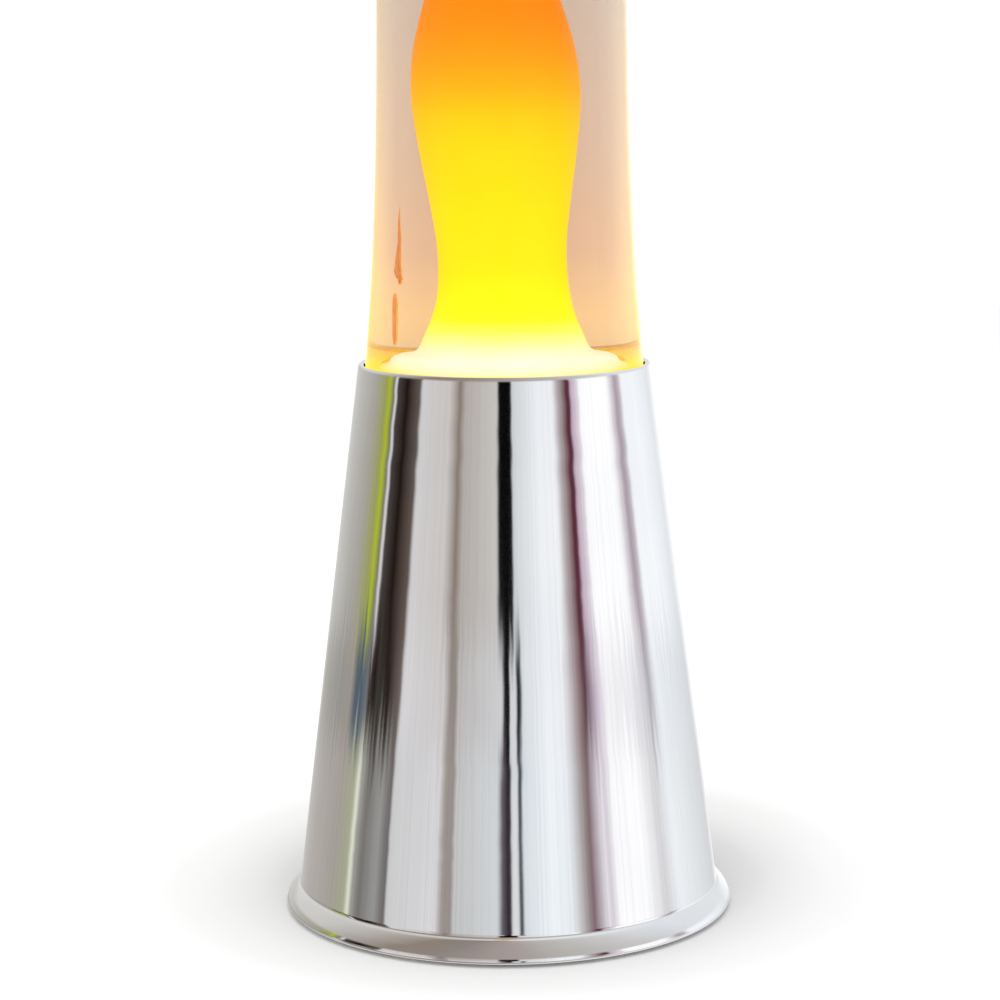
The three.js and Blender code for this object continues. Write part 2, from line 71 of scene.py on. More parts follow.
shell_low, shell_high = span("base_shell")
bottle_low, bottle_high = span("bottle")
plate_low, plate_high = span("base_plate")
holder_low, holder_high = span("lampholder_body")
cap_low, cap_high = span("top_cap")

LIP_R = shell_high.x
LIP_Z = shell_low.z
LIP_TOP_Z = LIP_Z + 5.4
RIM_Z = shell_high.z
FLOOR_R = 52.3  # radius that the cone would have at the floor
SLOPE = 0.127  # radius that the cone loses per millimetre of height
WALL = 1.2
RIM_INNER_R = RIM_Z * -SLOPE + FLOOR_R - 1.3
PLATE_Z = plate_low.z
SHEET = plate_high.z - plate_low.z
ON_PLATE_Z = PLATE_Z + SHEET + GAP
BOTTLE_Z = bottle_low.z
BOTTLE_R = bottle_high.x
BOTTLE_TOP_Z = bottle_high.z
GLASS = 2.4
SHOULDER_Z = BOTTLE_TOP_Z - 33
LIQUID_TOP_Z = span("liquid")[1].z
WAX_TOP_Z = span("wax_column")[1].z
POOL_Z = RIM_Z + 0.4
SEAT_Z = span("bottle_seat")[0].z + 3.4
HOLDER_Z = holder_low.z
TIP_Z = span("bulb_tip_contact")[0].z
THREAD_PITCH = 2.822  # E14


def cone(height):
    return FLOOR_R - SLOPE * height


# ---- outlines


def rounded(points, radius, closed=True, steps=5):
    """The outline with every corner rounded; a point's own third number is used instead of radius."""
    count = len(points)
    result = []
    for i, point in enumerate(points):
        corner = Vector(point[:2])
        size = point[2] if len(point) > 2 else radius
        if size == 0 or (not closed and i in (0, count - 1)):
            result.append(tuple(corner))
            continue
        before = Vector(points[i - 1][:2]) - corner
        after = Vector(points[(i + 1) % count][:2]) - corner
        reach = min(size, before.length * 0.49, after.length * 0.49)
        start = corner + before.normalized() * reach
        end = corner + after.normalized() * reach
        for k in range(steps + 1):
            t = k / steps
            spot = start * (1 - t) ** 2 + corner * 2 * t * (1 - t) + end * t**2
            result.append((max(spot.x, 0.0), spot.y))
    return result


def smooth(points, steps=6):
    """A smooth curve through the points."""
    result = []
    last = len(points) - 1
    for i in range(last):
        p0, p1 = Vector(points[max(i - 1, 0)]), Vector(points[i])
        p2, p3 = Vector(points[i + 1]), Vector(points[min(i + 2, last)])
        for k in range(steps):
            t = k / steps
            spot = 0.5 * (
                2 * p1
                + (p2 - p0) * t
                + (2 * p0 - 5 * p1 + 4 * p2 - p3) * t**2
                + (3 * p1 - p0 - 3 * p2 + p3) * t**3
            )
            result.append(tuple(spot))
    result.append(tuple(points[last]))
    return result


def column(radius, low, high, step):
    """Points up a straight wall, close enough together to carry a thread."""
    count = max(2, round((high - low) / step))
    return [(radius, low + (high - low) * i / count) for i in range(count + 1)]


def thread(low, high, pitch, depth, fade_low=True):
    """A shape that cuts a right-hand thread of that depth into the points between low and high."""

    def shape(radius, height, angle):
        if not low <= height <= high:
            return radius
        groove = 0.5 + 0.5 * math.cos(TURN * (height / pitch - angle / TURN))
        if fade_low:
            groove *= min(1, (height - low) / pitch)
        groove *= min(1, (high - height) / pitch)
        return radius - depth * groove

    return shape


# ---- meshes


def soften(piece, angle=38):
    """Smooth shading, other than at edges sharper than the angle."""
    piece.data.shade_smooth()
    piece.data.set_sharp_from_angle(angle=math.radians(angle))
    return piece


def build(vertices, faces, angle=38):
    """An object of those vertices, in millimetres, with its faces pointing outwards."""
    mesh = bpy.data.meshes.new("piece")
    mesh.from_pydata([Vector(v) * MM for v in vertices], [], faces)
    work = bmesh.new()
    work.from_mesh(mesh)
    bmesh.ops.remove_doubles(work, verts=work.verts, dist=1e-7)
    bmesh.ops.recalc_face_normals(work, faces=work.faces)
    work.to_mesh(mesh)
    work.free()
    piece = bpy.data.objects.new("piece", mesh)
    scene.collection.objects.link(piece)
    return soften(piece, angle)


ON_AXIS = 1e-6  # a radius under this counts as none


def lathe(outline, sides=FINE, shape=None, angle=38):
    """Turns an outline about Z. One that doesn't start and end on the axis closes on itself."""
    vertices, rings, faces = [], [], []
    for radius, height in outline:
        if radius < ON_AXIS:
            rings.append([len(vertices)] * sides)
            vertices.append((0, 0, height))
            continue
        rings.append(list(range(len(vertices), len(vertices) + sides)))
        for k in range(sides):
            turn = TURN * k / sides
            out = shape(radius, height, turn) if shape else radius
            vertices.append((out * math.sin(turn), -out * math.cos(turn), height))
    pairs = list(zip(rings, rings[1:]))
    if outline[0][0] >= ON_AXIS or outline[-1][0] >= ON_AXIS:
        pairs.append((rings[-1], rings[0]))
    for lower, upper in pairs:
        for k in range(sides):
            following = (k + 1) % sides
            corners = [lower[k], lower[following], upper[following], upper[k]]
            corners = list(dict.fromkeys(corners))
            if len(corners) > 2:
                faces.append(corners)
    return build(vertices, faces, angle)


def prism(points, low, high):
    """Extrudes a closed outline in XY from low to high."""
    count = len(points)
    vertices = [(x, y, low) for x, y in points] + [(x, y, high) for x, y in points]
    faces = [list(range(count))[::-1], list(range(count, 2 * count))]
    for k in range(count):
        following = (k + 1) % count
        faces.append([k, following, count + following, count + k])
    return build(vertices, faces)


def rectangle(left, near, right, far):
    return [(left, near), (right, near), (right, far), (left, far)]


def circle(radius, sides=SMALL, centre=(0, 0)):
    turns = [TURN * k / sides for k in range(sides)]
    return [(centre[0] + radius * math.cos(turn), centre[1] + radius * math.sin(turn)) for turn in turns]


def rod(radius, low, high, centre=(0, 0), sides=SMALL):
    return prism(circle(radius, sides, centre), low, high)


def wire(points, radius, sides=8, looped=False):
    """A round wire along the points; radius is one size, or one for each point."""
    spots = [Vector(p) for p in points]
    count = len(spots)
    sizes = radius if isinstance(radius, list) else [radius] * count
    vertices, faces = [], []
    side = Vector((0.3, 0.2, 1)).normalized()
    for i, spot in enumerate(spots):
        before = spots[i - 1] if looped else spots[max(i - 1, 0)]
        after = spots[(i + 1) % count] if looped else spots[min(i + 1, count - 1)]
        along = (after - before).normalized()
        side = (side - along * side.dot(along)).normalized()
        up = along.cross(side)
        for k in range(sides):
            turn = TURN * k / sides
            vertices.append(spot + (side * math.cos(turn) + up * math.sin(turn)) * sizes[i])
    rings = count if looped else count - 1
    for i in range(rings):
        first, second = i * sides, ((i + 1) % count) * sides
        for k in range(sides):
            following = (k + 1) % sides
            faces.append([first + k, first + following, second + following, second + k])
    if not looped:
        faces.append(list(range(sides))[::-1])
        faces.append(list(range((count - 1) * sides, count * sides)))
    return build(vertices, faces)


def moved(piece, matrix):
    """Moves the vertices by a matrix whose shifts are in millimetres."""
    shift = Matrix.Translation(matrix.to_translation() * MM)
    piece.data.transform(shift @ matrix.to_3x3().to_4x4())
    return piece


def applied(piece):
    """Turns the piece's modifiers into its mesh."""
    graph = bpy.context.evaluated_depsgraph_get()
    mesh = bpy.data.meshes.new_from_object(piece.evaluated_get(graph))
    piece.modifiers.clear()
    piece.data = mesh
    return soften(piece)


def cut(piece, *cutters):
    """Cuts the cutters out of the piece and uses them up."""
    for cutter in cutters:
        modifier = piece.modifiers.new("cut", "BOOLEAN")
        modifier.operation = "DIFFERENCE"
        modifier.solver = "EXACT"
        modifier.object = cutter
    applied(piece)
    for cutter in cutters:
        bpy.data.objects.remove(cutter)
    return piece


def bevelled(piece, width):
    modifier = piece.modifiers.new("bevel", "BEVEL")
    modifier.width = width * MM
    modifier.segments = 3
    modifier.limit_method = "ANGLE"
    modifier.angle_limit = math.radians(35)
    return applied(piece)


def joined(*pieces):
    """One piece made of separate solids."""
    work = bmesh.new()
    for piece in pieces:
        work.from_mesh(piece.data)
    mesh = bpy.data.meshes.new("piece")
    work.to_mesh(mesh)
    work.free()
    for piece in pieces[1:]:
        bpy.data.objects.remove(piece)
    pieces[0].data = mesh
    return soften(pieces[0])


def copied(piece):
    twin = bpy.data.objects.new("piece", piece.data.copy())
    scene.collection.objects.link(twin)
    return twin


def around(piece, count, radius, first_turn=0):
    """Copies of the piece round Z at a radius, each turned to face outwards; the piece is used up."""
    copies = []
    for k in range(count):
        turn = Matrix.Rotation(TURN * (first_turn + k / count), 4, "Z")
        copies.append(moved(copied(piece), turn @ Matrix.Translation((radius, 0, 0))))
    bpy.data.objects.remove(piece)
    return copies


# ---- materials

WHITE = (1, 1, 1, 1)
BLACK = (0, 0, 0, 1)
NOISE_ROUGHNESS = 0.55
ROUGHNESS_SWING = 0.06  # how far a surface's roughness strays from its middle value
BLOTCH = 6  # grains across one blotch of colour


def linear(red, green, blue):
    """A colour given as the 0-255 values that a screen shows, as the shaders' linear values."""

    def channel(value):
        value /= 255
        return value / 12.92 if value <= 0.04045 else ((value + 0.055) / 1.055) ** 2.4

    return (channel(red), channel(green), channel(blue), 1)


def gray(level):
    return (level, level, level, 1)


def shaded(color, factor):
    return tuple(min(1, channel * factor) for channel in color[:3]) + (1,)


def shader(name):
    """A new material, with its node tree and its Principled shader."""
    look = bpy.data.materials.new(name)
    look.use_nodes = True
    tree = look.node_tree
    return look, tree, tree.nodes["Principled BSDF"]


def put(tree, socket, value):
    """Links the socket to another node's output, or sets it to a plain value."""
    if isinstance(value, bpy.types.NodeSocket):
        tree.links.new(value, socket)
    else:
        socket.default_value = value


def fill(tree, made, **settings):
    """Sets the node's own settings, and sets or links its sockets, which are named with _ for a space."""
    for key, value in settings.items():
        if hasattr(made, key):
            setattr(made, key, value)
        else:
            put(tree, made.inputs[key.replace("_", " ")], value)
    return made


def node(tree, kind, **settings):
    return fill(tree, tree.nodes.new(kind), **settings)


def place_in(tree, stretch=(1, 1, 1)):
    """Object coordinates, squeezed or stretched."""
    where = node(tree, "ShaderNodeTexCoord")
    return node(tree, "ShaderNodeMapping", Vector=where.outputs["Object"], Scale=stretch).outputs["Vector"]


def axes(tree):
    """The object's own X, Y and Z."""
    return node(tree, "ShaderNodeSeparateXYZ", Vector=place_in(tree)).outputs


def noise(tree, size, stretch=(1, 1, 1), detail=4.0):
    """Noise whose patches are about size millimetres across."""
    made = node(tree, "ShaderNodeTexNoise", Vector=place_in(tree, stretch), Scale=1 / (size * MM),
                Detail=detail, Roughness=NOISE_ROUGHNESS)
    return made.outputs["Fac"]


def spread(tree, source, low, high, from_low=0.3, from_high=0.7):
    """The source's range, stretched over another one."""
    return node(tree, "ShaderNodeMapRange", Value=source, From_Min=from_low, From_Max=from_high, To_Min=low,
                To_Max=high).outputs["Result"]


def height_above(tree, low, high):
    """0 at the low height, 1 at the high one, in the object's own coordinates."""
    return spread(tree, axes(tree)["Z"], 0.0, 1.0, low * MM, high * MM)


def ramp(tree, source, stops):
    made = node(tree, "ShaderNodeValToRGB", Fac=source)
    elements = made.color_ramp.elements
    while len(elements) < len(stops):
        elements.new(0.5)
    for element, (position, color) in zip(elements, stops):
        element.position = position
        element.color = color
    return made.outputs["Color"]


def ramp_over(tree, source, stops, unit=1.0):
    """A ramp whose stops are placed by the source's own value, in that unit."""
    first, last = stops[0][0], stops[-1][0]
    place = spread(tree, source, 0.0, 1.0, first * unit, last * unit)
    return ramp(tree, place, [((value - first) / (last - first), color) for value, color in stops])


def maths(tree, operation, *values):
    made = node(tree, "ShaderNodeMath", operation=operation)
    for socket, value in zip(made.inputs, values):
        put(tree, socket, value)
    return made.outputs["Value"]


def reach(tree, across, along):
    """The distance from the axis, by its two parts."""
    squares = [maths(tree, "MULTIPLY", part, part) for part in (across, along)]
    return maths(tree, "SQRT", maths(tree, "ADD", *squares))


def blended(tree, factor, first, second, blend_type="MIX"):
    mix = node(tree, "ShaderNodeMix", data_type="RGBA", blend_type=blend_type)
    for index, value in ((0, factor), (6, first), (7, second)):  # the sockets of a mix of colours
        put(tree, mix.inputs[index], value)
    return mix.outputs[2]


def multiplied(tree, first, second):
    return blended(tree, 1.0, first, second, "MULTIPLY")


def bumped(tree, source, height):
    """Bump of that height in millimetres."""
    return node(tree, "ShaderNodeBump", Height=source, Strength=1.0, Distance=height * MM).outputs["Normal"]


def surface(metallic, name, shown, roughness, grain, mottling, bump, milky=0.0):
    """A material whose colour, roughness and bump vary with a grain of that size in millimetres."""
    look, tree, bsdf = shader(name)
    color = linear(*shown)
    blotches = noise(tree, grain * BLOTCH)
    fine = noise(tree, grain, detail=6.0)
    stops = [(0.3, shaded(color, 1 - mottling)), (0.7, shaded(color, 1 + mottling))]
    swing = spread(tree, fine, roughness - ROUGHNESS_SWING, roughness + ROUGHNESS_SWING)
    fill(tree, bsdf, Base_Color=ramp(tree, blotches, stops), Metallic=metallic, Roughness=swing,
         Subsurface_Weight=milky, Normal=bumped(tree, fine, bump))
    return look


def chrome_look():
    """Bright plating over spun steel, with faint lines drawn along the cone and a few dull smears."""
    look, tree, bsdf = shader("chrome_plate")
    smears = noise(tree, 22, (1, 1, 0.35))
    stops = [(0.35, linear(243, 244, 245)), (0.65, linear(250, 250, 250))]
    lines = noise(tree, 9, (1, 1, 0.12), detail=3.0)
    fill(tree, bsdf, Base_Color=ramp(tree, smears, stops), Metallic=1.0,
         Roughness=spread(tree, smears, 0.025, 0.06), Normal=bumped(tree, lines, 0.012))
    return look


def glass_look():
    """Clear glass, tinted warmer towards the rim as painted light; a painted glow at its grazing edges
    stands in for the light that it carries up from the base.
    """
    look, tree, bsdf = shader("bottle_glass")
    height = height_above(tree, RIM_Z, BOTTLE_TOP_Z)
    # painted light: the glass's colour warms towards the rim, where the bulb lights it from below
    tint = ramp(tree, height, [
        (0.0, (1, 0.98, 0.87, 1)), (0.12, (1, 0.98, 0.89, 1)), (0.25, (1, 0.985, 0.93, 1)),
        (0.45, (1, 0.995, 0.98, 1)), (1.0, WHITE),
    ])
    # painted glow at the grazing edges, strongest a little above the rim and fading towards the top
    painted_edge_glow = ramp(tree, height, [
        (0.0, (0.7, 0.42, 0.02, 1)), (0.1, (0.9, 0.72, 0.03, 1)), (0.25, (0.65, 0.48, 0.04, 1)),
        (0.5, (0.42, 0.2, 0.06, 1)), (0.8, (0.3, 0.13, 0.04, 1)), (1.0, (0.1, 0.05, 0.02, 1)),
    ])
    facing = node(tree, "ShaderNodeLayerWeight", Blend=0.5).outputs["Facing"]
    grazing = ramp(tree, facing, [(0.45, BLACK), (0.75, gray(0.35)), (0.95, WHITE)])
    waves = noise(tree, 24, (1, 1, 0.25), detail=1.0)
    fill(tree, bsdf, Base_Color=tint, Roughness=0.0, IOR=1.47, Transmission_Weight=1.0,
         Specular_Tint=gray(0.12), Emission_Color=multiplied(tree, painted_edge_glow, grazing), Emission_Strength=0.7,
         Normal=bumped(tree, waves, 0.02))
    return look


def stem_glass_look():
    look, tree, bsdf = shader("stem_glass")
    ripples = bumped(tree, noise(tree, 3), 0.02)
    fill(tree, bsdf, Roughness=0.05, IOR=1.5, Transmission_Weight=1.0, Normal=ripples)
    return look


LIQUID_GLOW = [  # height in millimetres above the rim, and the light that the liquid gives off there
    (-6, (0.16, 0.08, 0.0)), (3.6, (0.16, 0.07, 0.0)), (4.6, (0.2, 0.08, 0.0)), (8, (0.28, 0.15, 0.0)),
    (15, (0.25, 0.12, 0.0)), (27, (0.16, 0.05, 0.0)), (45, (0.1, 0.03, 0.0)), (90, (0.02, 0.01, 0.0)),
]


def liquid_look():
    """Clear liquid tinted peach, which glows more towards the lit wax at its foot."""
    look, tree, bsdf = shader("peach_liquid")
    stops = [(RIM_Z + above, color + (1,)) for above, color in LIQUID_GLOW]
    fill(tree, bsdf, Base_Color=WHITE, Roughness=0.0, IOR=1.36, Transmission_Weight=1.0,
         Specular_Tint=gray(0.05), Emission_Color=ramp_over(tree, axes(tree)["Z"], stops, MM),
         Emission_Strength=1.0)
    tint = node(tree, "ShaderNodeVolumeAbsorption", Color=(0.5, 0.3, 0.18, 1), Density=24.0)
    fill(tree, tree.nodes["Material Output"], Volume=tint.outputs["Volume"])
    return look


# painted glow: the bulb's light in the wax, painted as emission that changes with height
WAX_PAINTED_GLOW = [  # height in millimetres above the rim, and the colour that the lit wax shows there
    (-17, (255, 255, 255)), (-1, (255, 255, 255)), (2.5, (255, 255, 241)), (4.5, (255, 255, 201)),
    (8, (255, 255, 112)), (11, (255, 255, 29)), (15, (254, 252, 12)), (22, (254, 242, 6)),
    (36, (254, 236, 1)), (51, (254, 220, 2)), (58, (255, 206, 1)), (65, (254, 180, 2)), (72, (254, 158, 1)),
    (79, (255, 143, 1)), (87, (252, 135, 0)), (110, (250, 124, 0)), (170, (247, 115, 0)),
]


def wax_look():
    """Wax that the bulb lights from below, painted as a glow: white at its foot, then yellow, then orange.

    The pool round the foot of the column lies out of the beam, so it stays amber.
    """
    look, tree, bsdf = shader("glowing_wax")
    place = axes(tree)
    stops = [(RIM_Z + above, linear(*color)) for above, color in WAX_PAINTED_GLOW]
    # painted shade: the outer part of the pool lies out of the bulb's beam, so its painted glow turns amber
    # there instead of white
    outer = spread(tree, reach(tree, place["X"], place["Y"]), 0.0, 1.0, 19.6 * MM, 22.5 * MM)
    shallow = spread(tree, place["Z"], 0.0, 1.0, (RIM_Z - 12) * MM, (RIM_Z - 4) * MM)
    amber = maths(tree, "MULTIPLY", outer, shallow)
    glow = blended(tree, amber, ramp_over(tree, place["Z"], stops, MM), linear(252, 236, 40))
    patches = noise(tree, 14, (1, 1, 0.5), detail=3.0)
    clouds = ramp(tree, patches, [(0.3, (0.97, 0.95, 0.9, 1)), (0.7, WHITE)])
    deep = [(stops[0][0], (0.12, 0.09, 0.02, 1)), (stops[-1][0], (0.12, 0.04, 0.0, 1))]
    fill(tree, bsdf, Base_Color=ramp_over(tree, place["Z"], deep, MM), Roughness=0.45,
         Specular_IOR_Level=0.1, Sheen_Weight=0.3, Sheen_Tint=(1, 0.8, 0.0, 1), Sheen_Roughness=0.4,
         Emission_Color=multiplied(tree, glow, clouds), Emission_Strength=1.32)
    return look


def skirt_look():
    """Thin wax that is yellow where the bulb lights it and amber above."""
    look, tree, bsdf = shader("wax_skirt")
    glow = ramp(tree, height_above(tree, RIM_Z - 4, RIM_Z + 4.4), [
        (0.45, linear(250, 238, 20)), (0.62, linear(252, 232, 60)), (0.8, linear(251, 210, 90)),
        (1.0, linear(248, 196, 100)),
    ])
    fill(tree, bsdf, Base_Color=(0.1, 0.05, 0.01, 1), Roughness=0.5, Emission_Color=glow,
         Emission_Strength=0.85)
    return look


def film_look(name, pale, dark):
    """A thin skin of wax on the glass; its colour is a painted glow, for the bulb's light in the wax."""
    look, tree, bsdf = shader(name)
    glow = ramp(tree, noise(tree, 1.2, (1, 1, 0.4)), [(0.3, linear(*dark)), (0.7, linear(*pale))])
    fill(tree, bsdf, Base_Color=(0.2, 0.06, 0.01, 1), Roughness=0.5, Emission_Color=glow,
         Emission_Strength=0.9)
    return look


def bulb_look():
    """Silvered glass below the bulb's widest part and lit, frosted glass above it."""
    look, tree, bsdf = shader("reflector_glass")
    low, high = span("bulb_envelope")
    height = height_above(tree, low.z, high.z)
    thins, gone = 0.74, 0.78  # the part of the height at which the silvering starts to thin, and is gone
    color = ramp(tree, height, [(thins, linear(205, 206, 208)), (gone, linear(250, 246, 236))])
    glow = ramp(tree, height, [(thins, BLACK), (0.9, (1.0, 0.72, 0.38, 1)), (1.0, (1.0, 0.86, 0.6, 1))])
    fill(tree, bsdf, Base_Color=color, Metallic=ramp(tree, height, [(thins, WHITE), (gone, BLACK)]),
         Roughness=ramp(tree, height, [(thins, gray(0.16)), (gone, gray(0.5))]), Emission_Color=glow,
         Emission_Strength=1.1, Normal=bumped(tree, noise(tree, 0.4), 0.01))
    return look


def lit_wire_look():
    look, tree, bsdf = shader("filament_wire")
    glow = ramp(tree, noise(tree, 1.5), [(0.3, (1, 0.45, 0.12, 1)), (0.7, (1, 0.7, 0.3, 1))])
    fill(tree, bsdf, Base_Color=gray(0.2), Roughness=0.5, Emission_Color=glow, Emission_Strength=6.0)
    return look


METALS = [  # look, material, colour, roughness, grain in millimetres, mottling and bump
    ("zinc_steel", "zinc_plate", (188, 190, 186), 0.34, 1.2, 0.07, 0.006),
    ("brass", "brass_sheet", (214, 172, 92), 0.28, 1.5, 0.1, 0.004),
    ("nickel", "nickel_sheet", (200, 196, 186), 0.26, 1.5, 0.06, 0.004),
    ("solder", "solder_drop", (168, 170, 174), 0.45, 0.7, 0.12, 0.03),
]
PLASTICS = [  # the same for what isn't metal, and how milky it is
    ("black_plastic", "moulded_black", (27, 27, 29), 0.5, 0.6, 0.15, 0.015),
    ("white_plastic", "moulded_white", (232, 230, 222), 0.45, 0.8, 0.03, 0.01),
    ("phenolic", "phenolic_resin", (45, 35, 30), 0.38, 0.5, 0.25, 0.01),
    ("rubber", "foot_rubber", (34, 34, 36), 0.82, 0.35, 0.12, 0.04),
    ("silicone", "seal_silicone", (214, 210, 200), 0.6, 1.0, 0.04, 0.01, 0.1),
    ("brown_lead", "brown_sleeve", (112, 62, 34), 0.45, 0.8, 0.08, 0.006),
    ("blue_lead", "blue_sleeve", (52, 92, 172), 0.45, 0.8, 0.08, 0.006),
    ("black_glass", "black_vitrite", (20, 20, 24), 0.16, 1.5, 0.2, 0.01),
]
LOOKS = {
    "chrome": chrome_look(),
    "tungsten": lit_wire_look(),
    "bulb_glass": bulb_look(),
    "clear_glass": glass_look(),
    "liquid": liquid_look(),
    "wax": wax_look(),
    "stem_glass": stem_glass_look(),
    "wisp": film_look("wax_wisp", (226, 150, 96), (206, 110, 60)),
    "skirt": skirt_look(),
    "film": film_look("wax_film", (234, 164, 104), (216, 136, 80)),
}
for metallic, materials in ((1.0, METALS), (0.0, PLASTICS)):
    for look_name, *description in materials:
        LOOKS[look_name] = surface(metallic, *description)


def stand(piece, body, slot, name, look=None):
    """Names the piece, gives it its material and lets it ride on its body."""
    piece.name = name
    piece.data.name = name
    piece.data.materials.clear()
    piece.data.materials.append(LOOKS[look or slot])
    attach(piece, body)
    return piece


def finish(piece, body, slot, cad_node, look=None):
    """Stands a finished piece in for a CAD node."""
    stand(piece, body, slot, f"fine_{cad_node}", look)
    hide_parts(cad_node)


# ---- base: shell, seat and gasket

gland_low, gland_high = span("cord_gland")
GLAND_HOLE_R = 5.4
GLAND_Z = (gland_low.z + gland_high.z) / 2
GLAND_CENTRE = Vector((0, cone(GLAND_Z), GLAND_Z))
GLAND_FACING = Matrix.Translation(GLAND_CENTRE) @ Matrix.Rotation(math.atan(SLOPE) - math.pi / 2, 4, "X")


def base_shell():
    """The spun cone, from the beaded lip at its foot to the rolled rim, with the gland's hole."""
    lip = smooth([
        (LIP_R - 2.2, LIP_Z + 0.1),
        (LIP_R - 0.9, LIP_Z),
        (LIP_R - 0.1, LIP_Z + 0.5),
        (LIP_R - 0.15, LIP_Z + 1.4),
        (LIP_R - 0.75, LIP_Z + 2.7),
        (LIP_R - 1.7, LIP_Z + 3.9),
        (LIP_R - 2.7, LIP_Z + 4.9),
        (cone(LIP_TOP_Z) + 0.2, LIP_TOP_Z - 0.1),
    ])
    foot_z = LIP_TOP_Z + 0.25
    foot = smooth([(cone(LIP_TOP_Z) + 0.05, LIP_TOP_Z + 0.02), (cone(foot_z), foot_z)], 3)
    side = [(cone(z), z) for z in (LIP_TOP_Z + 1, 30, 60, 90, 120, RIM_Z - 1.4)]
    rim = smooth([
        (cone(RIM_Z - 0.6), RIM_Z - 0.6),
        (cone(RIM_Z) - 0.06, RIM_Z - 0.28),
        (cone(RIM_Z) - 0.25, RIM_Z - 0.06),
        (cone(RIM_Z) - 0.5, RIM_Z),
        (RIM_INNER_R + 0.2, RIM_Z - 0.15),
        (RIM_INNER_R, RIM_Z - 0.6),
        (RIM_INNER_R, RIM_Z - 2.8),
    ])
    inside = [
        (cone(RIM_Z - 4.4) - WALL, RIM_Z - 4.4),
        (cone(7) - WALL, 7),
        (cone(7) - WALL + 0.7, 5.2),
        (LIP_R - 2.7, 3.8),
        (LIP_R - 2.3, 2.2),
        (LIP_R - 2.5, LIP_Z + 0.2),
    ]
    shell = lathe(lip + foot + side + rim + inside, angle=60)
    return cut(shell, moved(rod(GLAND_HOLE_R, -8, 8), GLAND_FACING))


def bottle_seat():
    """A pressed ring inside the cone, turned down round the hole in its middle."""
    top = span("bottle_seat")[1].z
    wall = cone(SEAT_Z) - WALL - 0.3
    upper = cone(top) - WALL - 0.3
    return lathe(rounded([
        (upper, top, 0.4), (wall, SEAT_Z + 0.8), (wall - 0.8, SEAT_Z), (23.4, SEAT_Z, 0.5),
        (22.8, SEAT_Z - 0.5), (22.8, SEAT_Z - 3.4, 0.3), (21.8, SEAT_Z - 3.4, 0.3), (21.8, SEAT_Z + 0.6),
        (22.2, SEAT_Z + 1), (wall - 1.2, SEAT_Z + 1, 0.5), (upper - 1, top, 0.4)], 0.3))


def seat_gasket():
    """A flat ring with three grooves in its top."""
    low, high = (corner.z for corner in span("seat_gasket"))
    inner, outer, half = 24.8, 31.8, 0.35
    grooves = []
    for radius in (30.1, 28.3, 26.5):
        grooves += [(radius + half, high, 0.1), (radius, high - half, 0.1), (radius - half, high, 0.1)]
    outline = [(inner, low), (outer, low), (outer, high)] + grooves + [(inner, high)]
    return lathe(rounded(outline, 0.35), MEDIUM)


finish(base_shell(), "base", "chrome", "base_shell")
finish(bottle_seat(), "base", "zinc_steel", "bottle_seat")
finish(seat_gasket(), "base", "silicone", "seat_gasket")

# ---- base: plate, lugs, screws and feet

FOOT_RING_R = 43.5
FOOT_HOLE_R = 2.3
LUG_RING_R = 44.5
BRACKET_SCREW_X = 24.5
SCREW_R = 1.25
SCREW_HOLE_R = SCREW_R + GAP
VENTS = 8


def slot_cutter(inner, outer, half):
    """A slot along X with round ends, to cut through the plate."""
    points = []
    for centre, first in ((outer - half, -0.25), (inner + half, 0.25)):
        for k in range(9):
            turn = TURN * (first + k / 16)
            points.append((centre + half * math.cos(turn), half * math.sin(turn)))
    return prism(points, PLATE_Z - 2, PLATE_Z + 4)


def base_plate():
    """A pressed disc with a rounded edge, a ring-shaped rib, vents, and holes for screws and feet."""
    low, high, edge = PLATE_Z, PLATE_Z + SHEET, plate_high.x
    rib = 0.55
    under = [(0, low), (14, low, 1), (15.2, low + rib, 1), (17, low + rib, 1), (18.2, low, 1),
             (39.3, low, 0.4), (edge - 0.6, low, 0.4), (edge, low + 0.5, 0.3)]
    over = [(edge, high - 0.3, 0.3), (edge - 0.8, high, 0.4), (18.2, high, 1), (17, high + rib * 0.5, 1),
            (15.2, high + rib * 0.5, 1), (14, high, 1), (0, high)]
    plate = lathe(rounded(under + over, 0.3, closed=False))
    holes = around(slot_cutter(30, 38, 1.6), VENTS, 0, 0.5 / VENTS)
    holes += around(rod(SCREW_HOLE_R, 0, 8, sides=COARSE), 4, LUG_RING_R)
    holes += around(rod(FOOT_HOLE_R, 0, 8, sides=COARSE), 4, FOOT_RING_R, 1 / 8)
    holes += around(rod(SCREW_HOLE_R, 0, 8, sides=COARSE), 2, BRACKET_SCREW_X)
    return cut(plate, *holes)


def bent_strip(points, half_width, radius):
    """A strip of sheet whose side view is the outline in XZ, with rounded bends."""
    strip = prism(rounded(points, radius, steps=6), -half_width, half_width)
    return moved(strip, Matrix.Rotation(math.pi / 2, 4, "X"))


def shell_lug():
    """An angle that stands on the plate, with a hole for its screw."""
    foot = ON_PLATE_Z
    side = [(-3.5, foot, 0.15), (4.1, foot, 1.4), (4.1, foot + 8.3, 0.15), (3, foot + 8.3, 0.15),
            (3, foot + 1.5, 0.6), (-3.5, foot + 1.5, 0.15)]
    angle = bent_strip(side, 4.5, 0.2)
    return cut(angle, rod(SCREW_HOLE_R - 0.1, 0, 12, sides=COARSE))


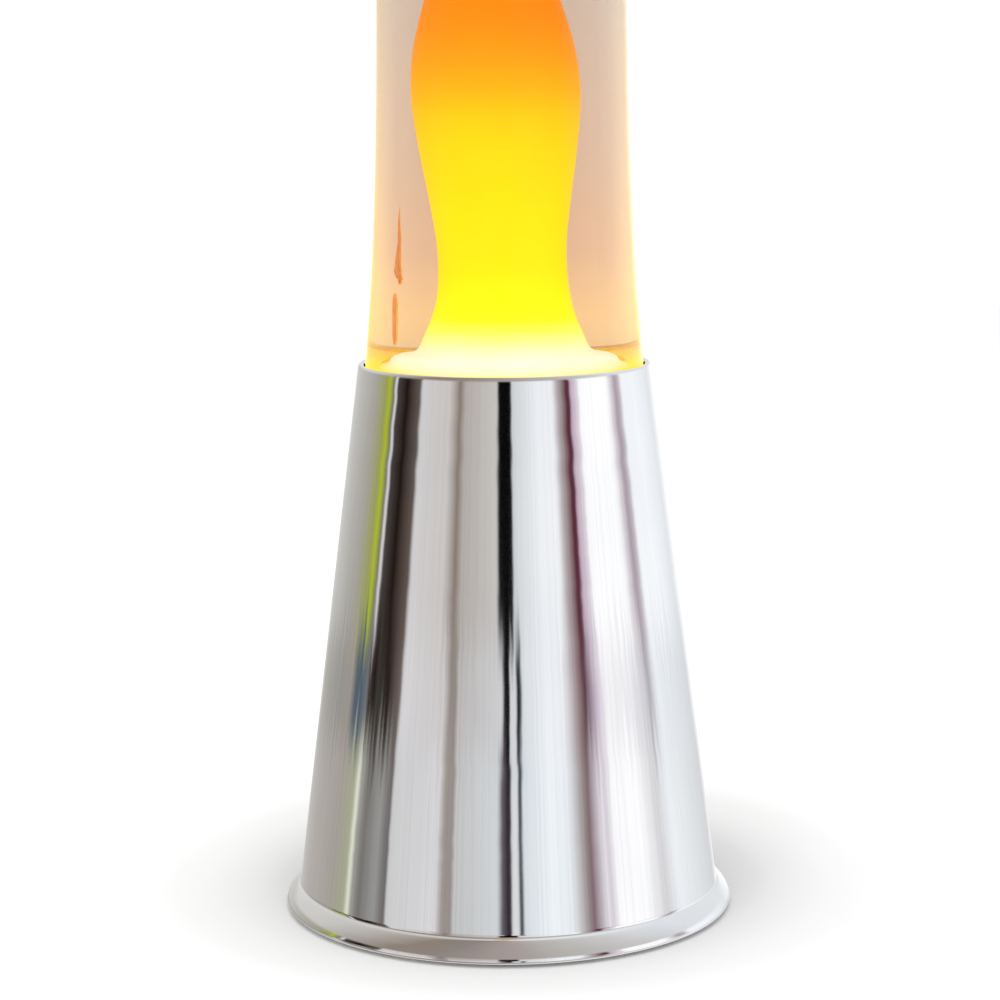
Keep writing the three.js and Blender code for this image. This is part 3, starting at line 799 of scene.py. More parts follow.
def pan_screw(tip):
    """A pan-head screw, head down, with a cross recess and a thread."""
    head = PLATE_Z - GAP
    crown = rounded([(0, head - 1.7), (1.9, head - 1.6, 0.7), (2.75, head - 0.5, 0.4), (2.7, head, 0.1),
                     (SCREW_R, head, 0)], 0.2, closed=False)
    shank = column(SCREW_R, head + 0.2, tip - 1, 0.12)
    screw = lathe(crown + shank + [(0, tip)], 32, thread(head + 0.4, tip - 0.8, 0.8, 0.28), angle=70)
    arms = [prism(rectangle(-1.5, -0.27, 1.5, 0.27), head - 3, head - 0.75)]
    arms.append(moved(copied(arms[0]), Matrix.Rotation(math.pi / 2, 4, "Z")))
    return cut(screw, *arms)


def rubber_foot():
    """A foot with a treaded underside, and a waist that the plate's hole grips."""
    under, over = PLATE_Z - GAP, ON_PLATE_Z
    tread = [(0, 0.25), (1.4, 0.25), (1.7, 0), (2.6, 0), (2.9, 0.4), (3.4, 0.4), (3.7, 0), (5.4, 0, 0.5)]
    side = [(6, 0.7), (5.7, under - 0.2, 0.2), (5.4, under), (2, under, 0.2), (2, over, 0.1),
            (2.9, over + 0.25, 0.3), (1.3, over + 2.8, 0.6), (0, over + 3)]
    return lathe(rounded(tread + side, 0.15, closed=False), SMALL)


def finish_all(pieces, body, slot, name):
    """Stands the pieces in for the CAD nodes name_1, name_2 and so on."""
    for number, piece in enumerate(pieces, 1):
        finish(piece, body, slot, f"{name}_{number}")


finish(base_plate(), "base", "zinc_steel", "base_plate")
finish_all(around(shell_lug(), 4, LUG_RING_R), "base", "zinc_steel", "shell_lug")
finish_all(around(pan_screw(11), 4, LUG_RING_R), "base", "zinc_steel", "plate_screw")
finish_all(around(rubber_foot(), 4, FOOT_RING_R, 1 / 8), "base", "rubber", "foot")

# ---- base: cord gland and terminal block

GLAND_R = 4.9
GLAND_BORE_R = 2.6
TERMINAL_Y = 27
TERMINAL_X = 4
LEAD_Z = 9.5


def grip(count, depth, low, high):
    """A shape that cuts shallow grip flutes between low and high."""

    def shape(radius, height, angle):
        if not low <= height <= high:
            return radius
        return radius - depth * max(0, math.cos(count * angle)) ** 2

    return shape


def cord_gland():
    """A sleeve through the shell, with a fluted flange outside; drawn about Z, then laid into its hole."""
    outline = rounded([
        (GLAND_BORE_R, 3.4, 0.3), (GLAND_BORE_R, -11, 0.2), (GLAND_R, -11, 0.3), (GLAND_R, 0.3, 0),
        (7, 0.3, 0.2), (7, 0.7, 0), (7, 1.6, 0.8), (5.6, 3.2, 0.6), (4.6, 3.6, 0), (3.6, 4.2, 0.5),
        (GLAND_BORE_R, 4.0, 0.4)], 0.2)
    return moved(lathe(outline, MEDIUM, grip(18, 0.35, 0.6, 2.2)), GLAND_FACING)


def hex_nut(across_corners, bore, low, high):
    nut = bevelled(prism(circle(across_corners / 2, 6), low, high), 0.35)
    return cut(nut, rod(bore, low - 1, high + 1))


def terminal_block():
    """A block for two leads, with a notch between its halves and a well for each screw."""
    low, high = span("terminal_block")
    block = bevelled(prism(rectangle(low.x, low.y, high.x, high.y), low.z, high.z), 0.5)
    cutters = [prism(rectangle(-1, low.y - 1, 1, high.y + 1), low.z + 6.5, high.z + 1)]
    lying = Matrix.Translation((0, TERMINAL_Y, LEAD_Z)) @ Matrix.Rotation(math.pi / 2, 4, "X")
    for x in (-TERMINAL_X, TERMINAL_X):
        cutters.append(moved(rod(1.5, -8, 8, sides=COARSE), Matrix.Translation((x, 0, 0)) @ lying))
        cutters.append(rod(2, LEAD_Z, high.z + 1, (x, TERMINAL_Y), 32))
    return cut(block, *cutters)


def terminal_screw(x):
    """A threaded stud with a slot across its top."""
    low, high = span("terminal_screw_1")
    shank = column(1.45, low.z + 0.1, high.z - 1, 0.12)
    outline = [(0, low.z)] + shank + [(1.5, high.z - 0.2), (1.3, high.z), (0, high.z)]
    screw = lathe(outline, 32, thread(low.z, high.z - 0.8, 0.7, 0.22), angle=70)
    slot = prism(rectangle(-2, -0.25, 2, 0.25), high.z - 0.7, high.z + 1)
    return moved(cut(screw, slot), Matrix.Translation((x, TERMINAL_Y, 0)))


finish(cord_gland(), "base", "black_plastic", "cord_gland")
finish(moved(hex_nut(15, GLAND_R + GAP, -5.4, -2.2), GLAND_FACING), "base", "black_plastic", "gland_nut")
finish(terminal_block(), "base", "white_plastic", "terminal_block")
finish_all([terminal_screw(-TERMINAL_X), terminal_screw(TERMINAL_X)], "base", "brass", "terminal_screw")

# ---- base: lampholder on its bracket

NIPPLE_R = 5
WEB_Z = HOLDER_Z - GAP


def lampholder_bracket():
    """A strap bent to a bridge, with a hole for the nipple and one in each foot."""
    low = ON_PLATE_Z
    half = [(20, WEB_Z, 1.6), (20, low + SHEET, 0.6), (29, low + SHEET, 0.1), (29, low, 0.1),
            (18.8, low, 1.4), (18.8, WEB_Z - SHEET, 0.5)]
    mirrored = [(-x, z, size) for x, z, size in reversed(half)]
    strap = bent_strip(half + mirrored, 7, 0.3)
    holes = around(rod(SCREW_HOLE_R, 0, 10, sides=COARSE), 2, BRACKET_SCREW_X)
    return cut(strap, rod(NIPPLE_R + GAP, 10, 20), *holes)


def nipple():
    """A hollow stud, threaded on its outside only."""
    low, high = span("lampholder_nipple")
    outline = column(NIPPLE_R, low.z + 0.3, high.z - 0.3, 0.14)
    bore = 3.6
    outline += [(4.6, high.z), (bore + 0.2, high.z), (bore, high.z - 0.2)]
    outline += [(bore, low.z + 0.2), (bore + 0.2, low.z), (4.6, low.z)]
    screw_thread = thread(low.z + 0.2, high.z - 0.2, 1.0, 0.45)
    return lathe(outline, 64, lambda r, z, a: screw_thread(r, z, a) if r > 4.9 else r, angle=70)


def lampholder_body():
    """A moulded body with a ribbed sleeve above and a floor across its middle that holds the contact."""
    top = holder_high.z
    ribs = grip(36, 0.25, HOLDER_Z + 16.5, top - 4)
    outline = [(NIPPLE_R + GAP, HOLDER_Z), (12.4, HOLDER_Z, 0.8), (13.2, HOLDER_Z + 0.9), (13.2, 29.5, 0.5),
               (14.2, 30.5, 0.5), (14.2, 31.5, 0), (14.2, 33.2, 0), (14.2, top - 4.2, 0),
               (14.2, top - 3.4, 0), (14.2, top - 1.2, 0.6), (13.4, top, 0.6), (9.4, top, 0.5),
               (8.8, top - 0.8), (8.8, 27, 0.4), (1.6, 27), (1.6, 25), (7.5, 25), (7.5, 21.5),
               (NIPPLE_R + GAP, 21.5)]
    return lathe(rounded(outline, 0.25), 144, lambda r, z, a: ribs(r, z, a) if r > 14 else r)


def thread_shell():
    """Brass sheet rolled to the lamp's thread; it keeps step with the thread on the bulb."""
    low, high = span("lampholder_thread_shell")
    inner = column(7.3, low.z, high.z, 0.28)
    outer = column(7.65, low.z, high.z - 1, 0.28)[::-1]
    outline = inner + [(8.5, high.z), (8.5, high.z - 0.4), (7.9, high.z - 0.7)] + outer
    return lathe(outline, MEDIUM, thread(low.z + 0.5, high.z - 1.2, THREAD_PITCH, 0.45), angle=70)


def centre_contact():
    """A rivet through the holder's floor, with a dome that the bulb's tip sits on."""
    high = span("lampholder_centre_contact")[1].z
    return lathe(rounded([(0, 23.3), (1.3, 23.3, 0.2), (1.3, 27.3, 0.2), (4.6, 27.3, 0.2), (4.6, 28, 0.3),
                          (2.4, 28.4, 0.6), (1.7, high - 0.3, 0.5), (0, high)], 0.2, closed=False), SMALL)


def lead(side):
    """A lead from the terminal block, under the nipple and up through it."""
    route = smooth([
        (side * TERMINAL_X, TERMINAL_Y - 3, LEAD_Z),
        (side * TERMINAL_X, TERMINAL_Y - 8, LEAD_Z),
        (side * 2.4, 11, 8),
        (side * 1.5, 4.2, 7.7),
        (side * 1.35, 0.8, 9.9),
        (side * 1.3, 0, 13),
        (side * 1.4, 0, 18.5),
        (side * 2.2, 0, 21.6),
        (side * 4.2, 0, 23.3),
    ], 8)
    return wire(route, 0.9, 16)


finish(lampholder_bracket(), "base", "zinc_steel", "lampholder_bracket")
finish_all(around(pan_screw(9), 2, BRACKET_SCREW_X, 0.5), "base", "zinc_steel", "bracket_screw")
finish(nipple(), "base", "zinc_steel", "lampholder_nipple")
nut_z = [corner.z for corner in span("nipple_nut")]
finish(hex_nut(15, NIPPLE_R + GAP, *nut_z), "base", "zinc_steel", "nipple_nut")
finish(lampholder_body(), "base", "phenolic", "lampholder_body")
finish(thread_shell(), "base", "brass", "lampholder_thread_shell")
finish(centre_contact(), "base", "brass", "lampholder_centre_contact")
finish(lead(1), "base", "brown_lead", "lead_live")
finish(lead(-1), "base", "blue_lead", "lead_neutral")

# ---- bulb: a 39 mm reflector bulb

SKIRT_Z = TIP_Z + 22
BULB_TOP_Z = span("bulb_envelope")[1].z


def bulb_envelope():
    """Blown glass 0.8 mm thick, open at its neck."""
    neck, thickness = 6.2, 0.8
    outside = [(neck, SKIRT_Z - 8)] + smooth([
        (neck, SKIRT_Z + 0.5), (8.2, 58), (12.2, 66), (16.2, 74), (18.7, 81), (19.4, 87), (18.7, 91),
        (15.6, 94.4), (9, 96.5), (0, BULB_TOP_Z)], 5)
    inside = []
    for i, (radius, height) in enumerate(outside[:-1]):
        ahead = Vector(outside[i + 1]) - Vector(outside[max(i - 1, 0)])
        normal = Vector((ahead.y, -ahead.x)).normalized() * thickness
        inside.append((radius - normal.x, height - normal.y))
    inside.append((0, BULB_TOP_Z - thickness))
    return lathe(outside[::-1] + inside, MEDIUM, angle=60)


def bulb_screw_cap():
    """Sheet rolled to the thread, drawn in at its foot and turned out at its top."""
    low = TIP_Z + 4.2
    outer = column(6.9, low + 0.4, SKIRT_Z - 1.6, 0.28)
    inner = column(6.65, low + 0.4, SKIRT_Z - 0.4, 0.28)[::-1]
    mouth = [(7.1, SKIRT_Z - 1.1), (7.25, SKIRT_Z - 0.6), (7.25, SKIRT_Z), (7.0, SKIRT_Z)]
    outline = [(6.3, low)] + outer + mouth + inner
    rolled = thread(low, SKIRT_Z - 2, THREAD_PITCH, 0.55, fade_low=False)

    def shape(radius, height, angle):
        start = min(1, max(0, (height - low) / 1.2))
        return rolled(radius, height, angle) - 0.5 * (1 - start)

    return lathe(outline, MEDIUM, shape, angle=70)


def bulb_cap_insulator():
    low = TIP_Z + 1.6
    top = low + 4.8
    return lathe(rounded([(2, low), (3.2, low, 0.4), (6.1, low + 2.7, 0.5), (6.1, top), (2, top)], 0.3), 64)


def bulb_tip_contact():
    top = TIP_Z + 1.3
    outline = [(0, TIP_Z), (1.6, TIP_Z + 0.1, 0.6), (2.6, TIP_Z + 0.8, 0.4), (2.5, top, 0.2),
               (1.7, top, 0.1), (1.7, top + 2.4, 0.2), (0, top + 2.4)]
    return lathe(rounded(outline, 0.2, closed=False), SMALL)


def bulb_stem():
    outline = smooth([(0, 46), (4.6, 46.1), (3.4, 48.5), (2.4, 54), (2.1, 60), (1.3, 63.4), (0, 64)], 5)
    return lathe(outline, SMALL)


def bulb_filament():
    """Two posts, and a coil strung between them."""
    half = [(0.9, 0, 64.5), (3.8, 0, 68), (5.3, 0, 74), (4.2, 0, 78.4)]
    arch = smooth([(-x, y, z) for x, y, z in half] + [(0, 0, 79.3)] + half[::-1], 14)
    coil = []
    for i, spot in enumerate(arch):
        turn = TURN * i / 5
        coil.append(Vector(spot) + Vector((math.cos(turn) * 0.16, math.sin(turn) * 0.22, 0)))
    return wire(coil, 0.1, 6)


finish(bulb_envelope(), "bulb", "bulb_glass", "bulb_envelope")
finish(bulb_screw_cap(), "bulb", "nickel", "bulb_screw_cap")
finish(bulb_cap_insulator(), "bulb", "black_glass", "bulb_cap_insulator")
finish(bulb_tip_contact(), "bulb_tip", "solder", "bulb_tip_contact")
finish(bulb_stem(), "bulb", "clear_glass", "bulb_stem", "stem_glass")
finish(bulb_filament(), "bulb", "tungsten", "bulb_filament")

# ---- bottle

BODY_R = 29.42  # radius that the bottle's side settles to above its flared foot
FLARE = 4.1
FLARE_FALL = 37
SLIM = 1.1
NECK_R = 13.2


def bottle_radius(height):
    """The bottle's outside: it flares towards the rim and slims a little towards the shoulder."""
    rise = max(height - RIM_Z, 0)
    flare = FLARE * math.exp(-((rise / FLARE_FALL) ** 1.1))
    return BODY_R + flare - SLIM * (rise / (SHOULDER_Z - RIM_Z)) ** 3


def bottle_side(inset):
    """The side from rim to shoulder, that far inside the outer face; its points lie closer at the flare."""
    count = 44
    heights = [RIM_Z + (SHOULDER_Z - RIM_Z) * (i / count) ** 1.3 for i in range(count + 1)]
    return [(bottle_radius(z) - inset, z) for z in heights]


def inner_foot(inset=0.0):
    """The inside of the bottle from the middle of its pushed-up floor to its wall."""
    wall = BOTTLE_R - GLASS - inset
    points = [(0, 117), (12, 116.4), (23, 115.6), (28, 115.8), (wall - 0.9, 117), (wall, 119.5)]
    return smooth([(radius, height + inset) for radius, height in points], 5)


def bottle():
    """Blown glass: outside from the pushed-up floor to the mouth, then inside back down to the floor."""
    top = BOTTLE_TOP_Z
    foot = smooth([(0, 114), (12, 113.6), (24.5, BOTTLE_Z + 0.1), (27.5, BOTTLE_Z), (30.5, BOTTLE_Z + 0.2),
                   (32.6, BOTTLE_Z + 1.4), (BOTTLE_R, BOTTLE_Z + 4)], 5)
    bend = [(27.4, 5), (24.8, 9.6), (18.8, 14.2), (14.5, 18), (NECK_R, 22)]
    bend = [(radius, SHOULDER_Z + height) for radius, height in bend]
    shoulder = smooth(bottle_side(0)[-1:] + bend, 5)[1:]
    neck_ring = rounded([(NECK_R, top - 8), (13.9, top - 7.2), (13.9, top - 3), (12.4, top, 1.2),
                         (8.8, top, 1)], 0.5, closed=False)
    mouth = [(8.7, top - 2), (8.6, top - 12)]
    shoulder_inside = smooth([(8.7, top - 14), (12, top - 17), (18.6, top - 21.6), (22.8, top - 25.2),
                              (25.2, top - 29.2)], 5)
    outline = foot + bottle_side(0) + shoulder + neck_ring + mouth + shoulder_inside
    outline += bottle_side(GLASS)[::-1] + inner_foot()[::-1]
    return lathe(outline, angle=60)


OVERLAP = 0.15  # how far the liquid's skin lies inside the glass, so that no film of air shows between them


def liquid():
    top = LIQUID_TOP_Z
    side = bottle_side(GLASS - OVERLAP)
    neck = smooth([side[-1], (25.3, top - 3.2), (24.0, top - 1.2), (23.6, top - 0.1)], 4)[1:]
    surface_line = [(22.8, top - 0.35), (21.5, top - 0.5), (0, top - 0.5)]
    return lathe(inner_foot(-OVERLAP) + side + neck + surface_line, angle=60)


WAX_LEAN = -2.2
LEAN_START_Z = 150


def leaning(piece):
    """The column leans to the left as it rises from the pool."""
    for vertex in piece.data.vertices:
        rise = max(0, (vertex.co.z / MM - LEAN_START_Z) / (WAX_TOP_Z - LEAN_START_Z))
        vertex.co.x += WAX_LEAN * rise * MM
    return piece


def wax_column():
    """The pool on the bottle's floor, grooved for the wire coil, and the column that rises from it."""
    wall = BOTTLE_R - GLASS - 0.3
    floor = [(0, 117.4), (22.6, 116.2), (23.8, 116.1), (24, 118.2), (25, 119.7), (27, 119.7), (28, 118.2),
             (28.1, 116.4), (30, 117.2), (wall, 119.4)]
    pool = [(wall, -7), (wall, -4.6), (wall - 0.8, -3.9), (27, -3.2), (23.2, -2.6), (20.8, -1.4), (20.0, 0),
            (18.8, 0.9), (16.6, 1.5), (15.2, 2.8)]
    stem = [(14.0, 141), (12.3, 147), (11.5, 154), (11.5, 163), (12.6, 174), (13.9, 185), (14.85, 196),
            (14.6, 205), (13.2, 214), (10.4, 225.5), (7.2, 234), (3.6, 240.6), (0, WAX_TOP_Z)]
    side = smooth([(radius, POOL_Z + height) for radius, height in pool] + stem)
    return leaning(lathe(rounded(floor, 0.4, closed=False) + side, MEDIUM, angle=60))


def wax_blob(cad_node, squat):
    """A ball of wax, a little flatter than round, and drawn out at its foot."""
    low, high = span(cad_node)
    centre, radius = (low + high) / 2, (high.z - low.z) / 2
    outline = []
    for i in range(41):
        turn = math.pi * i / 40
        pull = 1 - squat * math.cos(turn) * 0.5
        outline.append((abs(radius * math.sin(turn)) * pull * 0.98, -radius * math.cos(turn)))
    outline[0], outline[-1] = (0, -radius), (0, radius)
    return moved(lathe(outline, MEDIUM, angle=80), Matrix.Translation(centre))


def wire_coil():
    """A long spring bent into a ring; it lies in the groove at the foot of the wax."""
    low, high = span("wire_coil")
    ring_r, middle, coil_r, turns, per_turn = 26, (low.z + high.z) / 2, 1.0, 84, 12
    points = []
    for i in range(turns * per_turn):
        turn, wound = TURN * i / (turns * per_turn), TURN * i / per_turn
        out = ring_r + coil_r * math.cos(wound)
        points.append((out * math.cos(turn), out * math.sin(turn), middle + coil_r * math.sin(wound)))
    return wire(points, 0.3, 6, looped=True)


def crown_cap():
    """Sheet pressed over the mouth, with flutes in its skirt."""
    low, high = span("crown_cap")

    def flutes(radius, height, angle):
        flare = max(0, (high.z - 2.6 - height) / 4)
        return radius + 0.55 * min(1, flare) * (math.cos(21 * angle) - 1)

    top = high.z
    outside = smooth([(0, top), (9, top), (12.6, top - 0.1), (14.3, top - 1.2), (14.9, top - 3),
                      (15.4, top - 4.8), (16, low.z)], 4)
    inside = smooth([(15.7, low.z), (15.1, top - 4.8), (14.6, top - 3), (14, top - 1.5), (12.4, top - 0.45),
                     (9, top - 0.4), (0, top - 0.4)], 4)
    return lathe(outside + inside, 252, flutes, angle=60)


def crown_cap_liner():
    low, high = span("crown_cap_liner")
    top = high.z
    return lathe(rounded([(0, low.z), (11.8, low.z), (11.8, top), (10.2, top, 0.05), (10, top - 0.1, 0.05),
                          (0, top - 0.1)], 0.1, closed=False), MEDIUM)


def on_wall(degrees, height):
    """A point on the inside of the glass, by its angle from the front."""
    radius = bottle_radius(height) - GLASS - 0.25
    turn = math.radians(degrees)
    return (radius * math.sin(turn), -radius * math.cos(turn), height)


def side_line(side):
    """The line that the wax has left on one side of the glass."""
    angles = range(50, 97, 2)
    sizes = [0.27 * min(1, (degrees - 48) / 14, (98 - degrees) / 10) for degrees in angles]
    return wire([on_wall(side * degrees, RIM_Z + 4.4) for degrees in angles], sizes)


def wax_film():
    """What wax has left on the glass: a line round each side, and a drip above one of them."""
    drip = [on_wall(-56 + step * 0.25, RIM_Z + 18 - step * 1.5) for step in range(9)]
    sizes = [0.4, 0.8, 0.9, 0.85, 0.95, 0.85, 0.9, 0.8, 0.4]
    return joined(side_line(-1), side_line(1), wire(drip, sizes, 10))


def wax_skirt(side):
    """The thin skirt of wax on the glass below the line; it stops short of the front."""
    rows, columns, thickness = 10, 26, 0.25
    vertices, faces = [], []
    for layer in (0, 1):
        for i in range(rows + 1):
            height = RIM_Z - 4 + 8.3 * i / rows
            front = 68 - 19 * max(0, (height - RIM_Z) / 4.3) ** 1.5
            radius = bottle_radius(height) - GLASS - 0.08 - thickness * layer
            for k in range(columns + 1):
                turn = math.radians(side * (front + (116 - front) * k / columns))
                vertices.append((radius * math.sin(turn), -radius * math.cos(turn), height))
    across, sheet = columns + 1, (rows + 1) * (columns + 1)
    for i in range(rows):
        for k in range(columns):
            corner = i * across + k
            outer = (corner, corner + 1, corner + across + 1, corner + across)
            faces += [outer, tuple(sheet + index for index in outer[::-1])]
    border = list(range(across)) + [across * i - 1 for i in range(2, rows + 2)]
    border += [sheet - 1 - k for k in range(1, across)] + [across * i for i in range(rows - 1, 0, -1)]
    for first, second in zip(border, border[1:] + border[:1]):
        faces.append((second, first, sheet + first, sheet + second))
    return build(vertices, faces)


def wax_wisp():
    """A wisp of wax that has stuck to the glass."""
    spike = [on_wall(-54.5 - 0.3 * math.sin(step), RIM_Z + 38 - step * 1.65) for step in range(11)]
    sizes = [0.08, 0.2, 0.36, 0.42, 0.52, 0.5, 0.7, 0.9, 0.95, 1.25, 0.5]
    bead = [on_wall(-52.6, RIM_Z + 22.8), on_wall(-52.4, RIM_Z + 21.4), on_wall(-52.8, RIM_Z + 20.2)]
    return joined(wire(spike, sizes, 10), wire(bead, [0.3, 0.8, 0.4], 8))


stand(wax_skirt(-1), "bottle", "wax", "wax_skirt_left", "skirt")
stand(wax_skirt(1), "bottle", "wax", "wax_skirt_right", "skirt")
stand(wax_film(), "bottle", "wax", "wax_film", "film")
stand(wax_wisp(), "bottle", "wax", "wax_wisp", "wisp")
finish(bottle(), "bottle", "clear_glass", "bottle")
finish(liquid(), "bottle", "liquid", "liquid")
finish(wax_column(), "bottle", "wax", "wax_column")
finish(wax_blob("wax_blob_lower", 0.1), "wax_blob_lower", "wax", "wax_blob_lower")
finish(wax_blob("wax_blob_upper", 0.14), "wax_blob_upper", "wax", "wax_blob_upper")
finish(wire_coil(), "bottle", "zinc_steel", "wire_coil")
finish(crown_cap(), "bottle", "zinc_steel", "crown_cap")
finish(crown_cap_liner(), "bottle", "silicone", "crown_cap_liner")

# ---- cap


def top_cap():
    """The spun cap, which tapers like the base to a rounded, closed top."""
    low, top, wide = cap_low.z, cap_high.z, cap_high.x
    outside = [(wide - 0.1, low + 0.1)] + smooth([(wide, low + 0.5), (wide - 0.25, low + 1.5)], 2)
    outside += [(wide - 3.6, low + 20), (23.35, top - 6.4)]
    outside += smooth([(23.0, top - 4.6), (22.6, top - 3), (21.6, top - 1.4), (19.6, top - 0.5),
                       (12, top - 0.15), (0, top)], 5)
    inside = [(0, top - 0.9), (12, top - 1.05), (19.2, top - 1.5), (21.2, top - 2.4), (21.8, top - 4.2)]
    inside += [(wide - 1.15, low + 1.5), (wide - 0.9, low + 0.3), (wide - 0.5, low)]
    return lathe(outside + inside, angle=60)


def cap_collar():
    """A ribbed ring inside the cap that sits on the bottle's shoulder."""
    outline = rounded([(27.1, 356.8, 0.3), (26.6, 361.4, 0.4), (19.6, 361.4), (19.6, 359.6),
                       (21.6, 358.4, 0.8), (25.2, 355.4, 0.3)], 0.3)
    return lathe(outline, 160, grip(40, 0.25, 357, 361.2))


finish(top_cap(), "top_cap", "chrome", "top_cap")
finish(cap_collar(), "top_cap", "black_plastic", "cap_collar")

# ---- studio: world, light, floor and camera


# What the plating mirrors in its upper, middle and lower part, and plain tones for what lies beyond: the
# angle round the lamp in degrees from straight ahead, then red, green and blue as a screen shows them.
UPPER_LEFT = [
    (-180, 240, 240, 240), (-164, 200, 200, 197), (-118, 166, 162, 155), (-103, 152, 156, 90),
    (-99, 170, 184, 40), (-94, 116, 112, 98), (-92.2, 206, 205, 206), (-91, 206, 205, 206),
    (-89.8, 70, 64, 62), (-80, 28, 18, 12), (-68, 95, 84, 78), (-65.5, 205, 203, 203), (-42, 200, 195, 192),
    (-34, 132, 120, 110), (-29.5, 178, 171, 165), (-6, 196, 193, 190), (-4.4, 6, 6, 6), (0, 6, 6, 6),
]
UPPER_RIGHT = [
    (0, 6, 6, 6), (4.4, 6, 6, 8), (5.4, 205, 207, 209), (24, 234, 237, 240), (36, 238, 239, 241),
    (40, 184, 176, 180), (44, 150, 130, 132), (48, 86, 38, 48), (50, 98, 56, 72), (51.6, 192, 168, 184),
    (57, 220, 212, 220), (59.5, 255, 254, 255), (84, 254, 254, 254), (94, 170, 154, 166),
    (98, 190, 182, 188), (102, 244, 246, 248), (118, 244, 247, 250), (146, 224, 227, 231),
    (162, 252, 252, 252), (180, 240, 240, 240),
]
MIDDLE_LEFT = [
    (-180, 240, 240, 240), (-165, 200, 201, 198), (-156, 175, 171, 165), (-124, 150, 148, 142),
    (-110, 152, 146, 140), (-105, 84, 94, 104), (-99, 72, 90, 108), (-94, 110, 110, 112), (-92, 54, 44, 44),
    (-88, 30, 18, 16), (-85, 58, 54, 48), (-77, 28, 16, 10), (-68, 110, 98, 92), (-66.8, 210, 208, 210),
    (-39, 206, 201, 200), (-35, 146, 137, 130), (-31.4, 146, 137, 128), (-29.6, 188, 184, 182),
    (-3, 206, 206, 208), (-1.6, 40, 38, 40), (0, 14, 12, 14),
]
MIDDLE_RIGHT = [
    (0, 14, 12, 14), (1.4, 30, 28, 30), (2.2, 214, 214, 216), (5.2, 216, 216, 218), (6.2, 22, 26, 30),
    (8.2, 40, 46, 52), (9.4, 216, 220, 222), (24, 236, 239, 242), (34, 234, 236, 239), (44, 150, 130, 132),
    (49, 86, 50, 60), (57, 202, 190, 204), (63, 242, 240, 242), (80, 234, 234, 237), (92, 204, 202, 206),
    (96, 170, 168, 175), (99.5, 209, 209, 214), (104, 232, 236, 240), (150, 211, 214, 217),
    (165, 251, 251, 251), (180, 240, 240, 240),
]
LOWER_LEFT = [
    (-180, 238, 238, 237), (-160, 188, 188, 184), (-140, 177, 171, 167), (-108, 163, 158, 149),
    (-97, 165, 168, 140), (-93.5, 222, 224, 208), (-91, 158, 158, 150), (-86, 118, 114, 112),
    (-76, 148, 148, 145), (-69.6, 104, 99, 98), (-68, 203, 203, 203), (-40, 216, 214, 216),
    (-36, 156, 148, 142), (-31.4, 152, 144, 140), (-29.6, 195, 194, 194), (-6, 208, 212, 214),
    (-3.2, 96, 92, 98), (0, 48, 38, 46),
]
LOWER_RIGHT = [
    (0, 48, 38, 46), (1.4, 62, 54, 60), (2.4, 216, 217, 218), (5.4, 218, 220, 222), (6.4, 60, 62, 66),
    (7.6, 74, 78, 82), (8.6, 212, 218, 222), (24, 237, 241, 245), (34, 231, 235, 239), (44, 148, 137, 136),
    (47, 126, 102, 108), (55.5, 226, 221, 228), (58, 208, 202, 209), (62, 250, 249, 251),
    (78, 252, 252, 253), (91, 212, 210, 212), (103, 235, 239, 242), (152, 208, 209, 211),
    (166, 242, 242, 243), (180, 238, 238, 237),
]
MIRRORED_BANDS = [(LOWER_LEFT, LOWER_RIGHT), (MIDDLE_LEFT, MIDDLE_RIGHT), (UPPER_LEFT, UPPER_RIGHT)]
PLAIN_TONES = [
    (-180, 226, 226, 225), (-115, 205, 202, 198), (-90, 176, 170, 164), (-65, 145, 132, 121),
    (-38, 147, 137, 131), (-12, 163, 153, 148), (5, 172, 160, 157), (25, 182, 177, 173),
    (50, 192, 189, 186), (75, 206, 204, 204), (110, 228, 232, 236), (140, 232, 234, 236),
    (180, 226, 226, 225),
]
CONE_TILT = 2 * math.degrees(math.atan(SLOPE))  # how far the cone's slope lifts a reflection
FAN = 4.0  # degrees by which the cards at the sides spread out towards their feet
WORLD_LEVEL = 1.08  # the white that every ray sees, other than a mirrored one
DEGREES = 360 / TURN  # in one radian


def line_noise(tree, source, scale):
    """Noise along one line, drawn over the source's own value."""
    return node(tree, "ShaderNodeTexNoise", noise_dimensions="1D", W=source, Scale=scale, Detail=4.0,
                Roughness=0.6).outputs["Fac"]


def around_ramp(tree, degrees, stops):
    return ramp_over(tree, degrees, [(angle, linear(*color)) for angle, *color in stops])


